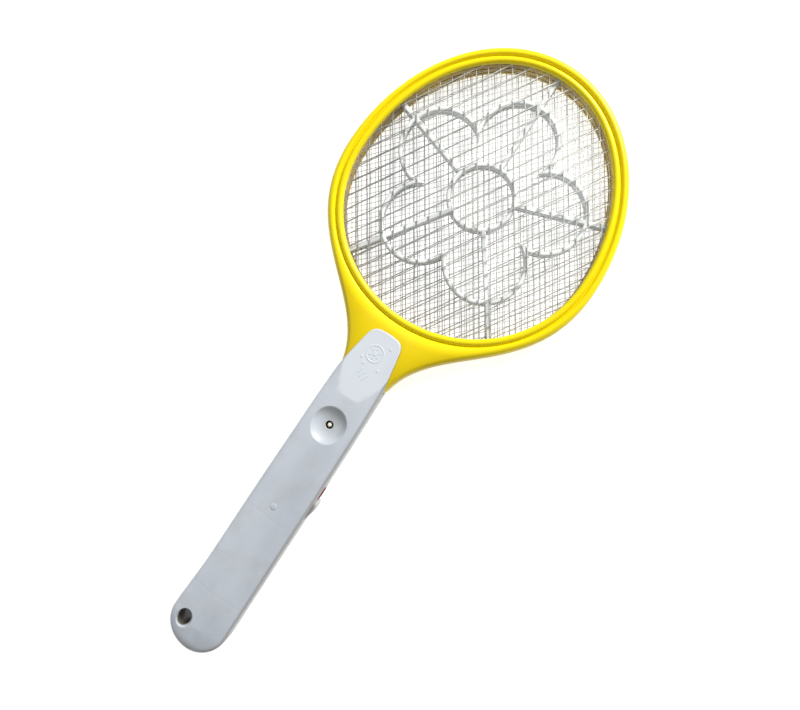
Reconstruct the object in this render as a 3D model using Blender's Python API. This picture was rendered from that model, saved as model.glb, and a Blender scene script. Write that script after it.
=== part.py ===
"""Electric fly swatter: two-piece racket head with three nets, and a handle with its electronics.

The racket lies on its back: +Z is the front face, +Y runs from butt to head, X is across.
Lengths below are in millimetres from the butt end; every point is shifted and scaled once,
in put(), to metres about the middle of the outline on the rest plane.
"""
import bpy
import bmesh
from math import cos, sin, pi, radians, sqrt, hypot
from mathutils import Vector

MM = 0.001
LENGTH = 460.0
HALF_LENGTH = LENGTH / 2

# racket head
HEAD_Y = 342.1
HEAD_HALF = 96.4
HEAD_UP = LENGTH - HEAD_Y
OPEN_HALF = 85.7
OPEN_UP = 106.5
OPEN_LOW = 80.8
RING_THICK = 19.0
PART_Z = RING_THICK / 2
LIP = 3.7
SKIN = 2.2
FLARE_W = 17.34
FLARE_Y = 204.6
FLARE_PULL_LOW = 55.2
FLARE_PULL_HIGH = 75.5
FLARE_END = 212.3

# neck stub of the head inside the handle
STUB_Y = 198.0
STUB_HALF = 15.3
STUB_LOW = 4.4
STUB_HIGH = 18.9
STUB_WALL = 2.0

# nets and spacers
NET_THICK = 0.5
NET_REACH = 2.7
WIRE_ANGLE = 33.0
LIVE_ANGLE = 39.0
NET_PITCH = 28.0
LIVE_PITCH = 26.0
NET_WIRE = 1.6
SPACER_IN = 0.3
SPACER_OUT = 3.0
RIB_WIDE = 3.0
FLOWER_Y = 357.0
CORE_R = 22.0
PETAL_R = 27.2
PETAL_OUT = 43.2

# handle
HANDLE_THICK = 27.0
HANDLE_PART = 13.5
HANDLE_END = 212.0
BUTT_R = 20.2
WALL = 2.0
FACET_Y = 199.3
FACET_DROP = 0.0965
TONGUE_UNDER = 19.3
GAP = 0.3

DISH = (-0.4, 176.3)
DISH_R = 12.5
HANG = (-11.0, 17.7)
HANG_RX = 4.4
HANG_RY = 5.6

# moving parts
BUTTON_Y = 134.0
BUTTON_Z = 14.0
BUTTON_LONG = 9.4
BUTTON_TALL = 10.0
DOOR_LOW = 40.0
DOOR_HIGH = 106.7
DOOR_HALF = 15.6

COLOURS = {
    "yellow": ((0.80, 0.66, 0.02), 0.35, 0.0),
    "handle_grey": ((0.50, 0.54, 0.58), 0.45, 0.0),
    "rib_grey": ((0.66, 0.68, 0.66), 0.5, 0.0),
    "button_red": ((0.45, 0.03, 0.03), 0.4, 0.0),
    "net_steel": ((0.55, 0.55, 0.53), 0.35, 1.0),
    "spring_steel": ((0.60, 0.60, 0.62), 0.3, 1.0),
    "screw_steel": ((0.45, 0.45, 0.47), 0.35, 1.0),
    "contact_nickel": ((0.70, 0.68, 0.62), 0.3, 1.0),
    "board_green": ((0.02, 0.20, 0.08), 0.5, 0.0),
    "switch_black": ((0.03, 0.03, 0.03), 0.5, 0.0),
    "plunger_white": ((0.80, 0.80, 0.76), 0.5, 0.0),
    "led_lens": ((0.95, 0.93, 0.78), 0.2, 0.0),
    "ferrite": ((0.08, 0.08, 0.08), 0.7, 0.0),
    "winding_tape": ((0.75, 0.55, 0.10), 0.5, 0.0),
    "film_capacitor": ((0.45, 0.10, 0.04), 0.3, 0.0),
    "ceramic_blue": ((0.05, 0.16, 0.42), 0.4, 0.0),
    "component_black": ((0.04, 0.04, 0.04), 0.5, 0.0),
    "resistor_tan": ((0.62, 0.45, 0.27), 0.5, 0.0),
    "cell_label": ((0.06, 0.10, 0.22), 0.35, 0.3),
    "lead_red": ((0.60, 0.04, 0.03), 0.5, 0.0),
    "lead_black": ((0.03, 0.03, 0.03), 0.5, 0.0),
    "lead_white": ((0.80, 0.80, 0.78), 0.5, 0.0),
}


def put(point):
    """Millimetres from the butt end to metres in the racket's own frame."""
    return (point[0] * MM, (point[1] - HALF_LENGTH) * MM, point[2] * MM)


def material(name):
    """The Principled material of that name, made on first use."""
    mat = bpy.data.materials.get(name)
    if mat is None:
        colour, rough, metal = COLOURS[name]
        mat = bpy.data.materials.new(name)
        mat.use_nodes = True
        shader = mat.node_tree.nodes["Principled BSDF"]
        shader.inputs["Base Color"].default_value = (*colour, 1.0)
        shader.inputs["Roughness"].default_value = rough
        shader.inputs["Metallic"].default_value = metal
        mat.diffuse_color = (*colour, 1.0)
    return mat


def solid(name, verts, faces, mat=None):
    """A closed mesh object from millimetre points, with its faces turned outward."""
    mesh = bpy.data.meshes.new(name)
    mesh.from_pydata([put(v) for v in verts], [], faces)
    work = bmesh.new()
    work.from_mesh(mesh)
    bmesh.ops.recalc_face_normals(work, faces=work.faces)
    work.to_mesh(mesh)
    work.free()
    obj = bpy.data.objects.new(name, mesh)
    bpy.context.scene.collection.objects.link(obj)
    if mat:
        mesh.materials.append(material(mat))
    return obj


def stack(name, rings, mat=None):
    """A solid lofted through closed rings of equal length, with a flat cap at each end."""
    count = len(rings[0])
    verts = [p for ring in rings for p in ring]
    faces = [list(range(count))[::-1]]
    for level in range(len(rings) - 1):
        low = level * count
        for i in range(count):
            j = (i + 1) % count
            faces.append([low + i, low + j, low + count + j, low + count + i])
    faces.append([(len(rings) - 1) * count + i for i in range(count)])
    return solid(name, verts, faces, mat)


def tyre(name, rings, mat=None):
    """A ring-shaped solid: the section points run round each station, the stations close up."""
    count = len(rings[0])
    verts = [p for ring in rings for p in ring]
    faces = []
    for level in range(len(rings)):
        low = level * count
        high = ((level + 1) % len(rings)) * count
        for i in range(count):
            j = (i + 1) % count
            faces.append([low + i, low + j, high + j, high + i])
    return solid(name, verts, faces, mat)


def prism(name, outline, low, high, mat=None):
    """A flat outline drawn up from z low to z high."""
    return stack(name, [[(x, y, low) for x, y in outline], [(x, y, high) for x, y in outline]], mat)


def box(name, low, high, mat=None):
    """A rectangular block between two corners."""
    outline = [(low[0], low[1]), (high[0], low[1]), (high[0], high[1]), (low[0], high[1])]
    return prism(name, outline, low[2], high[2], mat)


def circle(x, y, r, count=14, ry=None):
    """Points round a circle or, with ry, an ellipse."""
    ry = r if ry is None else ry
    return [(x + r * cos(2 * pi * i / count), y + ry * sin(2 * pi * i / count)) for i in range(count)]


def post(name, x, y, r, low, high, count=14, mat=None):
    """An upright cylinder."""
    return prism(name, circle(x, y, r, count), low, high, mat)


def turned(name, x, y, profile, count=16, mat=None):
    """An upright turned solid from (radius, z) pairs, both ends closed flat."""
    rings = [[(px, py, z) for px, py in circle(x, y, r, count)] for r, z in profile]
    return stack(name, rings, mat)


def tube(name, path, radius, count=6, mat=None):
    """A round wire swept along a list of points."""
    points = [Vector(p) for p in path]
    rings = []
    side = None
    for i, here in enumerate(points):
        before = points[max(i - 1, 0)]
        after = points[min(i + 1, len(points) - 1)]
        along = (after - before).normalized()
        if side is None:
            helper = Vector((0, 0, 1)) if abs(along.z) < 0.9 else Vector((1, 0, 0))
            side = along.cross(helper).normalized()
        else:
            side = (side - along * side.dot(along)).normalized()
        up = along.cross(side)
        turn = [2 * pi * k / count for k in range(count)]
        rings.append([tuple(here + (side * cos(a) + up * sin(a)) * radius) for a in turn])
    return stack(name, rings, mat)


def combine(target, tool, operation):
    """Boolean of the tool into the target; the tool is removed afterwards."""
    modifier = target.modifiers.new("cut", "BOOLEAN")
    modifier.operation = operation
    modifier.solver = "EXACT"
    modifier.object = tool
    graph = bpy.context.evaluated_depsgraph_get()
    mesh = bpy.data.meshes.new_from_object(target.evaluated_get(graph))
    target.modifiers.remove(modifier)
    old = target.data
    target.data = mesh
    mesh.name = target.name
    bpy.data.meshes.remove(old)
    bpy.data.objects.remove(tool, do_unlink=True)
    return target


def cut(target, tool):
    return combine(target, tool, "DIFFERENCE")


def join(target, tool):
    return combine(target, tool, "UNION")


def keep(target, tool):
    return combine(target, tool, "INTERSECT")


def tidy(obj):
    """Merge doubled points left by the Booleans and drop edges that are straight on."""
    work = bmesh.new()
    work.from_mesh(obj.data)
    bmesh.ops.remove_doubles(work, verts=work.verts, dist=0.00001)
    bmesh.ops.dissolve_degenerate(work, edges=work.edges, dist=0.000005)
    bmesh.ops.recalc_face_normals(work, faces=work.faces)
    work.to_mesh(obj.data)
    work.free()
    return obj


def egg(extra=0.0, count=40):
    """The head opening's outline, grown outward by extra all round."""
    points = []
    for i in range(count):
        a = 2 * pi * i / count
        reach = OPEN_UP if sin(a) > 0 else OPEN_LOW
        points.append(((OPEN_HALF + extra) * cos(a), HEAD_Y + (reach + extra) * sin(a)))
    return points


def flare_side(steps=13):
    """The concave side of the flare, from the neck up to the head's widest line."""
    points = []
    for i in range(steps + 1):
        t = i / steps
        a, b, c, d = (1 - t) ** 3, 3 * (1 - t) ** 2 * t, 3 * (1 - t) * t * t, t ** 3
        x = FLARE_W * (a + b) + HEAD_HALF * (c + d)
        y = FLARE_Y * a + (FLARE_Y + FLARE_PULL_LOW) * b + (HEAD_Y - FLARE_PULL_HIGH) * c + HEAD_Y * d
        points.append((x, y))
    return [p for p in points if p[1] > FLARE_END + 1.0]


def head_outline(inset=0.0, top=22):
    """The head's outer outline with the flare, drawn in by inset everywhere but at the neck end."""
    side = [(17.75, FLARE_END)] + flare_side()
    arch = [(HEAD_HALF * cos(pi * i / top), HEAD_Y + HEAD_UP * sin(pi * i / top)) for i in range(1, top)]
    loop = side + arch + [(-x, y) for x, y in reversed(side)]
    out = []
    for i, (x, y) in enumerate(loop):
        ax, ay = loop[i - 1]
        bx, by = loop[(i + 1) % len(loop)]
        if i == 0:
            ax, ay = x, y - 1
        if i == len(loop) - 1:
            bx, by = x, y - 1
        nx, ny = by - ay, ax - bx
        size = hypot(nx, ny)
        out.append((x - inset * nx / size, y if i in (0, len(loop) - 1) else y - inset * ny / size))
    return out


def side_z(z, front):
    """A height on the front half, or the same height mirrored to the back half."""
    return z if front else RING_THICK - z


RING_SCREWS = []
for angle in (90, 32, 148, -14, 194):
    c, s = cos(radians(angle)), sin(radians(angle))
    reach = OPEN_UP if s > 0 else OPEN_LOW
    RING_SCREWS.append(((OPEN_HALF + 6.1) * c, HEAD_Y + (reach + (6.6 if s > 0 else 6.1)) * s))
FLARE_SCREWS = [(-26.5, 246.0), (26.5, 246.0)]
HEAD_SCREWS = RING_SCREWS + FLARE_SCREWS
NECK_SCREWS = [(-9.5, 207.3), (9.5, 207.3)]
HANDLE_SCREWS = [(9.0, 21.0), (-12.0, 112.0), (12.0, 112.0)]


def frame_half(name, front):
    """One half shell of the racket head: rim with groove and bead, flare, neck stub, bosses."""
    levels = [(0.0, PART_Z - 1.0), (0.0, PART_Z + 0.15), (0.15, 14.6), (0.75, 17.3), (1.75, 18.5), (3.1, RING_THICK)]
    rings = [[(x, y, side_z(z, front)) for x, y in head_outline(d)] for d, z in levels]
    body = stack(name, rings, "yellow")
    hollow = prism("hollow", head_outline(SKIN), side_z(7.0, front), side_z(RING_THICK - LIP, front))
    hollow = cut(hollow, box("end", (-40, 200, -5), (40, FLARE_END + SKIN, 30)))
    cut(body, hollow)
    pocket = prism("pocket", head_outline(SKIN - 0.01), side_z(7.3, front), side_z(16.8, front))
    cut(pocket, box("end", (-40, 200, -5), (40, FLARE_END + SKIN, 30)))
    cut(pocket, prism("rim", egg(7.5), -5, 30))
    cut(pocket, box("above", (-120, 284, -5), (120, 480, 30)))
    cut(body, pocket)
    levels = [(0.0, 6.0), (0.0, 17.0), (0.35, 18.1), (1.1, 18.8), (2.1, 19.6)]
    rings = [[(x, y, side_z(z, front)) for x, y in egg(d)] for d, z in levels]
    cut(body, stack("opening", rings))
    section = [(3.0, 19.4), (4.2, 17.5), (5.2, 17.5), (6.4, 19.4)]
    outlines = [egg(d) for d, z in section]
    stations = []
    for i in range(len(outlines[0])):
        stations.append([(*outlines[k][i], side_z(section[k][1], front)) for k in range(4)])
    cut(body, tyre("groove", stations))
    low, high = (PART_Z - 0.6, STUB_HIGH) if front else (STUB_LOW, PART_Z + 0.6)
    stub = box("stub", (-STUB_HALF, STUB_Y, low), (STUB_HALF, FLARE_END + SKIN - 0.4, high))
    join(body, stub)
    floor = (7.6, STUB_HIGH - STUB_WALL) if front else (STUB_LOW + STUB_WALL, 11.4)
    channel = box("channel", (-STUB_HALF + 2, STUB_Y - 3, floor[0]), (STUB_HALF - 2, FLARE_END + 4, floor[1]))
    cut(body, channel)
    for x, y in HEAD_SCREWS:
        if front:
            join(body, post("boss", x, y, 2.75, PART_Z - 0.7, 17.2, 12))
            cut(body, post("pilot", x, y, 1.5, 5.0, 16.2, 10))
        else:
            join(body, post("boss", x, y, 2.75, 1.6, PART_Z + 0.7, 12))
            cut(body, post("hole", x, y, 1.5, 1.0, 12.0, 10))
            cut(body, post("recess", x, y, 2.3, -1.0, 1.9, 12))
    for x, y in NECK_SCREWS:
        cut(body, post("hole", x, y, 1.6, low - 1, high + 1, 10))
    trim = (-20.0, PART_Z + 0.15) if front else (PART_Z - 0.15, 40.0)
    cut(body, box("trim", (-150, 100, trim[0]), (150, 500, trim[1])))
    return tidy(body)


def tabbed_egg(tab):
    """The nets' outer edge with a solder tab reaching out at its lowest part."""
    edge = egg(NET_REACH, 36)
    out = []
    for i, (x, y) in enumerate(edge):
        nx, ny = edge[(i + 1) % len(edge)]
        if not (y < HEAD_Y and abs(x - tab) < 2.0):
            out.append((x, y))
        if y < HEAD_Y and x < tab - 2.0 <= nx:
            t = (tab - 2.0 - x) / (nx - x)
            out += [(tab - 2.0, y + (ny - y) * t), (tab - 2.0, 251.5), (tab + 2.0, 251.5)]
        if y < HEAD_Y and x < tab + 2.0 <= nx:
            t = (tab + 2.0 - x) / (nx - x)
            out.append((tab + 2.0, y + (ny - y) * t))
    return out


def net_plate(name, angle, pitch, middle, tab):
    """A diamond net: a flat sheet with a rim, open rhombic cells and one solder tab."""
    low, high = middle - NET_THICK / 2, middle + NET_THICK / 2
    half_x = pitch / (2 * cos(radians(angle)))
    half_y = pitch / (2 * sin(radians(angle)))
    shrink = (pitch - NET_WIRE) / pitch
    verts = []
    faces = []
    for i in range(-9, 10):
        for j in range(-9, 10):
            if (i + j) % 2:
                continue
            x, y = i * half_x, HEAD_Y + 12 + j * half_y
            reach = OPEN_UP if y > HEAD_Y else OPEN_LOW
            if hypot(x / (OPEN_HALF - 2.4), (y - HEAD_Y) / (reach - 2.4)) > 1.12:
                continue
            base = len(verts)
            for z in (low - 1, high + 1):
                verts += [(x + half_x * shrink, y, z), (x, y + half_y * shrink, z),
                          (x - half_x * shrink, y, z), (x, y - half_y * shrink, z)]
            faces += [[base + 3, base + 2, base + 1, base], [base + 4, base + 5, base + 6, base + 7]]
            for k in range(4):
                faces.append([base + k, base + (k + 1) % 4, base + 4 + (k + 1) % 4, base + 4 + k])
    cells = solid("cells", verts, faces)
    keep(cells, prism("rim", egg(-1.2, 36), low - 3, high + 3))
    sheet = prism(name, tabbed_egg(tab), low, high, "net_steel")
    return tidy(cut(sheet, cells))


def spacer_ring(name, low, high):
    """The plain ring that holds two nets apart, with a notch for each end of the flower's spokes."""
    inner, outer = egg(SPACER_IN), egg(SPACER_OUT)
    stations = [[(*a, low), (*b, low), (*b, high), (*a, high)] for a, b in zip(inner, outer)]
    ring = tyre(name, stations, "yellow")
    for angle in range(5):
        a = radians(90 + 72 * angle)
        reach = spoke_reach(a)
        mid = (cos(a) * (reach - 8), FLOWER_Y + sin(a) * (reach - 8))
        cut(ring, bar("notch", mid, a, 18.6, RIB_WIDE + 0.7, low - 1, high + 1))
    return tidy(ring)


def bar(name, centre, angle, long, wide, low, high):
    """A straight flat bar, long along the given direction."""
    c, s = cos(angle), sin(angle)
    outline = []
    for u, v in ((-1, -1), (1, -1), (1, 1), (-1, 1)):
        x, y = u * long / 2, v * wide / 2
        outline.append((centre[0] + x * c - y * s, centre[1] + x * s + y * c))
    return prism(name, outline, low, high)


def spoke_reach(angle):
    """How far the wall of the opening is from the flower's centre in that direction."""
    reach = 30.0
    while reach < 130.0:
        x, y = reach * cos(angle), FLOWER_Y + reach * sin(angle) - HEAD_Y
        if hypot(x / OPEN_HALF, y / (OPEN_UP if y > 0 else OPEN_LOW)) > 1.0:
            return reach
        reach += 0.1
    return reach


def flower(name, low, high):
    """The rib piece between two nets: a round core, five petals and five spokes to the ring."""
    rings = []
    for grow in (-RIB_WIDE / 2, RIB_WIDE / 2):
        loop = []
        for petal in range(5):
            for step in range(-5, 5):
                t = radians(36.0 * step / 5)
                a = radians(90 + 72 * petal) + t
                reach = PETAL_OUT * cos(t) + sqrt((PETAL_R + grow) ** 2 - (PETAL_OUT * sin(t)) ** 2)
                loop.append((reach * cos(a), FLOWER_Y + reach * sin(a)))
        rings.append(loop)
    stations = [[(*a, low), (*b, low), (*b, high), (*a, high)] for a, b in zip(*rings)]
    body = tyre(name, stations, "rib_grey")
    inner = circle(0, FLOWER_Y, CORE_R - RIB_WIDE / 2, 24)
    outer = circle(0, FLOWER_Y, CORE_R + RIB_WIDE / 2, 24)
    stations = [[(*a, low), (*b, low), (*b, high), (*a, high)] for a, b in zip(inner, outer)]
    core = tyre("core", stations)
    for spoke in range(5):
        a = radians(90 + 72 * spoke)
        start, end = CORE_R + 0.6, spoke_reach(a) + 1.0
        mid = (start + end) / 2
        centre = (mid * cos(a), FLOWER_Y + mid * sin(a))
        join(core, bar("spoke", centre, a, end - start, RIB_WIDE, low, high))
    join(body, core)
    return tidy(body)


def half_width(y):
    """Half the handle's width along its length."""
    stations = [(BUTT_R, 20.2), (80, 19.85), (120, 19.65), (150, 19.15), (185, 18.7), (200, 18.2), (220, 17.3)]
    for (ya, wa), (yb, wb) in zip(stations, stations[1:]):
        if y <= yb:
            return wa + (wb - wa) * max(y - ya, 0.0) / (yb - ya)
    return stations[-1][1]


def handle_loft(name, levels, end, mat=None):
    """A solid of the handle's plan shape; each level is (inset, z), the last one is its spine."""
    stations = [BUTT_R, 50, 80, 115, 150, 175, 195, end]
    arc = 12
    loop = []
    for y in reversed(stations[1:]):
        loop.append((half_width(y), y, 0.0, y))
    for i in range(arc + 1):
        a = -pi * i / arc
        loop.append((BUTT_R * cos(a), BUTT_R + BUTT_R * sin(a), 0.0, BUTT_R))
    for y in stations[1:]:
        loop.append((-half_width(y), y, 0.0, y))
    rings = []
    for inset, z in levels[:-1]:
        ring = []
        for x, y, cx, cy in loop:
            reach = hypot(x - cx, y - cy)
            t = (reach - inset) / reach
            ring.append((cx + (x - cx) * t, cy + (y - cy) * t, z))
        rings.append(ring)
    verts = [p for ring in rings for p in ring]
    count = len(loop)
    spine_z = levels[-1][1]
    spine = {}
    for y in stations:
        spine[y] = len(verts)
        verts.append((0.0, y, spine_z))
    faces = [list(range(count))]
    for level in range(len(rings) - 1):
        low = level * count
        for i in range(count - 1):
            faces.append([low + i, low + i + 1, low + count + i + 1, low + count + i])
    top = (len(rings) - 1) * count
    for i in range(count - 1):
        a, b = spine[loop[i][3]], spine[loop[i + 1][3]]
        faces.append([top + i, top + i + 1, b, a] if a != b else [top + i, top + i + 1, b])
    first = [level * count for level in range(len(rings))]
    last = [level * count + count - 1 for level in range(len(rings))]
    faces.append(first + [spine[end]] + last[::-1])
    return solid(name, verts, faces, mat)


def tongue_outline():
    """Half widths of the front shell's tongue over the flare, both sides."""
    half = [(17.2, 204.0), (17.35, 211.9), (15.3, 225.0), (14.2, 231.6), (13.0, 238.2),
            (12.3, 241.6), (10.9, 244.4), (8.6, 246.3), (5.0, 247.2)]
    return half + [(0.0, 247.5)] + [(-x, y) for x, y in reversed(half)]


def finger_stop(name, low, high):
    """The small ramp on the side wall that keeps the thumb off the button."""
    w = half_width(121) - 1.0
    outline = [(w, 112.5), (w + 1.6, 116.0), (w + 2.7, 121.0), (w + 3.0, 125.5), (w + 2.4, 127.3), (w, 127.8)]
    levels = [(0.0, low), (0.0, low + 0.8), (0.0, high - 1.2), (1.0, high)]
    rings = [[(x - d, y, z) for x, y in outline] for d, z in levels]
    return stack(name, rings)


def hang_tube(name, grow, low, high):
    return prism(name, circle(HANG[0], HANG[1], HANG_RX + grow, 16, HANG_RY + grow), low, high)


def button_window(shell):
    """Opening in the side wall for the push button."""
    low = (15.0, BUTTON_Y - BUTTON_LONG / 2 - GAP, BUTTON_Z - BUTTON_TALL / 2 - GAP)
    high = (26.0, BUTTON_Y + BUTTON_LONG / 2 + GAP, BUTTON_Z + BUTTON_TALL / 2 + GAP)
    cut(shell, box("window", low, high))


def front_shell():
    """The handle's front half: crowned face, tongue with sloped facet, dish, bosses, bay ribs."""
    low = HANDLE_PART + 0.15
    levels = [(0.0, low - 1.5), (0.1, 20.0), (0.6, 22.4), (1.9, 24.3), (4.0, 25.5), (8.5, 26.4), (0.0, HANDLE_THICK)]
    body = handle_loft("front_handle_shell", levels, HANDLE_END, "handle_grey")
    inner = [(WALL, low - 4), (WALL, 19.6), (2.8, 21.8), (4.6, 23.4), (8.5, 24.3), (0.0, 24.8)]
    cavity = handle_loft("cavity", inner, 203.0)
    mouth = box("mouth", (-STUB_HALF - GAP, 202.0, low - 3), (STUB_HALF + GAP, 214.0, TONGUE_UNDER - 0.1))
    join(cavity, mouth)
    cut(body, cavity)
    join(body, post("dish_floor", DISH[0], DISH[1], 13.6, 22.4, 25.4, 18))
    join(body, prism("tongue", tongue_outline(), TONGUE_UNDER, 27.6))
    slope = [(-30, FACET_Y), (-30, 260.0), (30, 260.0), (30, FACET_Y)]
    lower = [(x, y, HANDLE_THICK - (y - FACET_Y) * FACET_DROP) for x, y in slope]
    cut(body, stack("facet", [lower, [(x, y, 40.0) for x, y in slope]]))
    join(body, finger_stop("stop", low - 0.5, 21.5))
    button_window(body)
    join(body, hang_tube("hang_boss", 1.7, low - 0.8, 25.2))
    lip = [[(x, y, z) for x, y in circle(HANG[0], HANG[1], HANG_RX + g, 16, HANG_RY + g)]
           for g, z in ((-0.3, 23.2), (0.25, 24.6), (2.4, 27.5))]
    cut(body, stack("hang_mouth", lip))
    profile = [(2.75, 20.0), (2.75, 24.75), (7.0, 24.9), (10.9, 25.5), (DISH_R, 26.2), (DISH_R, 30.0)]
    cut(body, turned("dish", DISH[0], DISH[1], profile, 20))
    for x, y in HANDLE_SCREWS:
        join(body, post("boss", x, y, 3.1, low - 0.7, 24.4, 12))
        cut(body, post("pilot", x, y, 1.5, 10.0, 20.5, 10))
    for x, y in NECK_SCREWS:
        cut(body, post("pilot", x, y, 1.5, 15.0, 24.0, 10))
    for y in (42.4, 104.4):
        join(body, box("bay_rib", (-13.6, y - 0.6, low - 0.6), (13.6, y + 0.6, 24.4)))
    cut(body, box("trim", (-60, -20, -20), (60, 300, low)))
    cut(body, hang_tube("hang_hole", 0.0, 0.0, 40.0))
    return tidy(body)


def back_shell():
    """The handle's back half: flat resting face, battery bay opening, posts, screw recesses."""
    high = HANDLE_PART - 0.15
    levels = [(0.0, high + 1.5), (0.1, 6.4), (0.7, 3.6), (2.2, 1.3), (4.4, 0.25), (6.5, 0.0), (0.0, 0.0)]
    body = handle_loft("back_handle_shell", levels, HANDLE_END, "handle_grey")
    inner = [(WALL, high + 4), (WALL, 6.8), (2.8, 4.6), (4.4, 2.9), (6.8, WALL), (0.0, WALL)]
    cavity = handle_loft("cavity", inner, 209.0)
    mouth = box("mouth", (-STUB_HALF - GAP, 197.0, STUB_LOW - GAP), (STUB_HALF + GAP, 214.0, high + 3))
    join(cavity, mouth)
    cut(body, cavity)
    join(body, finger_stop("stop", 5.5, high + 1.2))
    button_window(body)
    join(body, hang_tube("hang_boss", 1.7, 1.0, high + 0.8))
    cut(body, hang_tube("hang_hole", 0.0, -5.0, 20.0))
    cut(body, box("bay_opening", (-DOOR_HALF + 2.6, DOOR_LOW, -2), (DOOR_HALF - 2.6, DOOR_HIGH + GAP, 5)))
    for x, y in HANDLE_SCREWS:
        join(body, post("boss", x, y, 3.4, 0.8, high + 0.7, 12))
        cut(body, post("hole", x, y, 1.6, -1.0, 20.0, 10))
        cut(body, post("recess", x, y, 2.8, -1.0, 4.6, 12))
    for x, y in NECK_SCREWS:
        join(body, post("pad", x, y, 3.4, 0.8, 4.1, 12))
        cut(body, post("hole", x, y, 1.6, -1.0, 10.0, 10))
        cut(body, post("recess", x, y, 2.8, -1.0, 2.3, 12))
    for x in (-10.4, 10.4):
        for y in (145.0, 186.0):
            join(body, post("board_post", x, y, 1.8, 1.2, 10.7, 8))
    cut(body, box("trim", (-60, -20, high), (60, 300, 50)))
    return tidy(body)


def door():
    """The battery door: a flat cover with two hooks at the hinge end and a latch tongue."""
    half = DOOR_HALF - 2.6 - GAP
    body = box("battery_door", (-half, DOOR_LOW + GAP, 0.0), (half, DOOR_HIGH, WALL), "handle_grey")
    for x in (-8.0, 8.0):
        join(body, box("hook", (x - 2, DOOR_HIGH - 3.0, 1.0), (x + 2, DOOR_HIGH - 0.6, 3.6)))
        join(body, box("hook", (x - 2, DOOR_HIGH - 2.8, 2.4), (x + 2, DOOR_HIGH + 1.9, 3.4)))
    join(body, box("latch", (-4.0, DOOR_LOW + 0.9, 1.0), (4.0, DOOR_LOW + 2.1, 4.2)))
    for i in range(3):
        y = DOOR_LOW + 6.0 + 2.2 * i
        cut(body, box("grip", (-6.0, y, -1.0), (6.0, y + 1.0, 0.5)))
    return tidy(body)


def button():
    """The push button: rounded cap in the side wall, inner flange and stem."""
    y0, y1 = BUTTON_Y - BUTTON_LONG / 2, BUTTON_Y + BUTTON_LONG / 2
    z0, z1 = BUTTON_Z - BUTTON_TALL / 2, BUTTON_Z + BUTTON_TALL / 2
    rings = []
    for x, d in ((16.0, 0.0), (19.0, 0.0), (19.6, 0.35), (19.95, 1.1)):
        rings.append([(x, y0 + d, z0 + d), (x, y1 - d, z0 + d), (x, y1 - d, z1 - d), (x, y0 + d, z1 - d)])
    body = stack("push_button", rings, "button_red")
    join(body, box("flange", (15.3, y0 - 1.5, 7.6), (16.7, y1 + 1.5, 20.2)))
    join(body, box("stem", (13.6, BUTTON_Y - 3.2, 12.95), (15.5, BUTTON_Y + 3.2, 17.9)))
    return tidy(body)


def coil(name, centre, axis, length, radii, turns, wire, steps=9, mat="spring_steel"):
    """A coil spring from centre along the axis, its radius running between the two radii."""
    path = []
    total = int(turns * steps)
    for i in range(total + 1):
        t = i / total
        a = 2 * pi * turns * t
        r = radii[0] + (radii[1] - radii[0]) * t
        u, v, w = r * cos(a), r * sin(a), length * t
        if axis == "X":
            path.append((centre[0] + w, centre[1] + u, centre[2] + v))
        else:
            path.append((centre[0] + u, centre[1] + w, centre[2] + v))
    return tube(name, path, wire, 4, mat)


def screw(name, x, y, head, seat, tip, r_head, r_shank):
    """A pan-head screw put in from the back: head low, tip up."""
    profile = [(r_head * 0.75, head), (r_head, head + 0.35), (r_head, seat), (r_shank, seat), (r_shank, tip)]
    return turned(name, x, y, profile, 8, "screw_steel")


def cell(name, x, start, direction):
    """A round dry cell lying along Y, with its raised contact toward the given direction."""
    profile = [(6.4, 0.0), (7.1, 0.5), (7.1, 48.6), (6.3, 49.1), (2.7, 49.1), (2.7, 50.5)]
    rings = []
    for r, along in profile:
        y = start + direction * along
        rings.append([(x + r * cos(2 * pi * k / 16), y, 10.6 + r * sin(2 * pi * k / 16)) for k in range(16)])
    return stack(name, rings, "cell_label")


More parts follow.
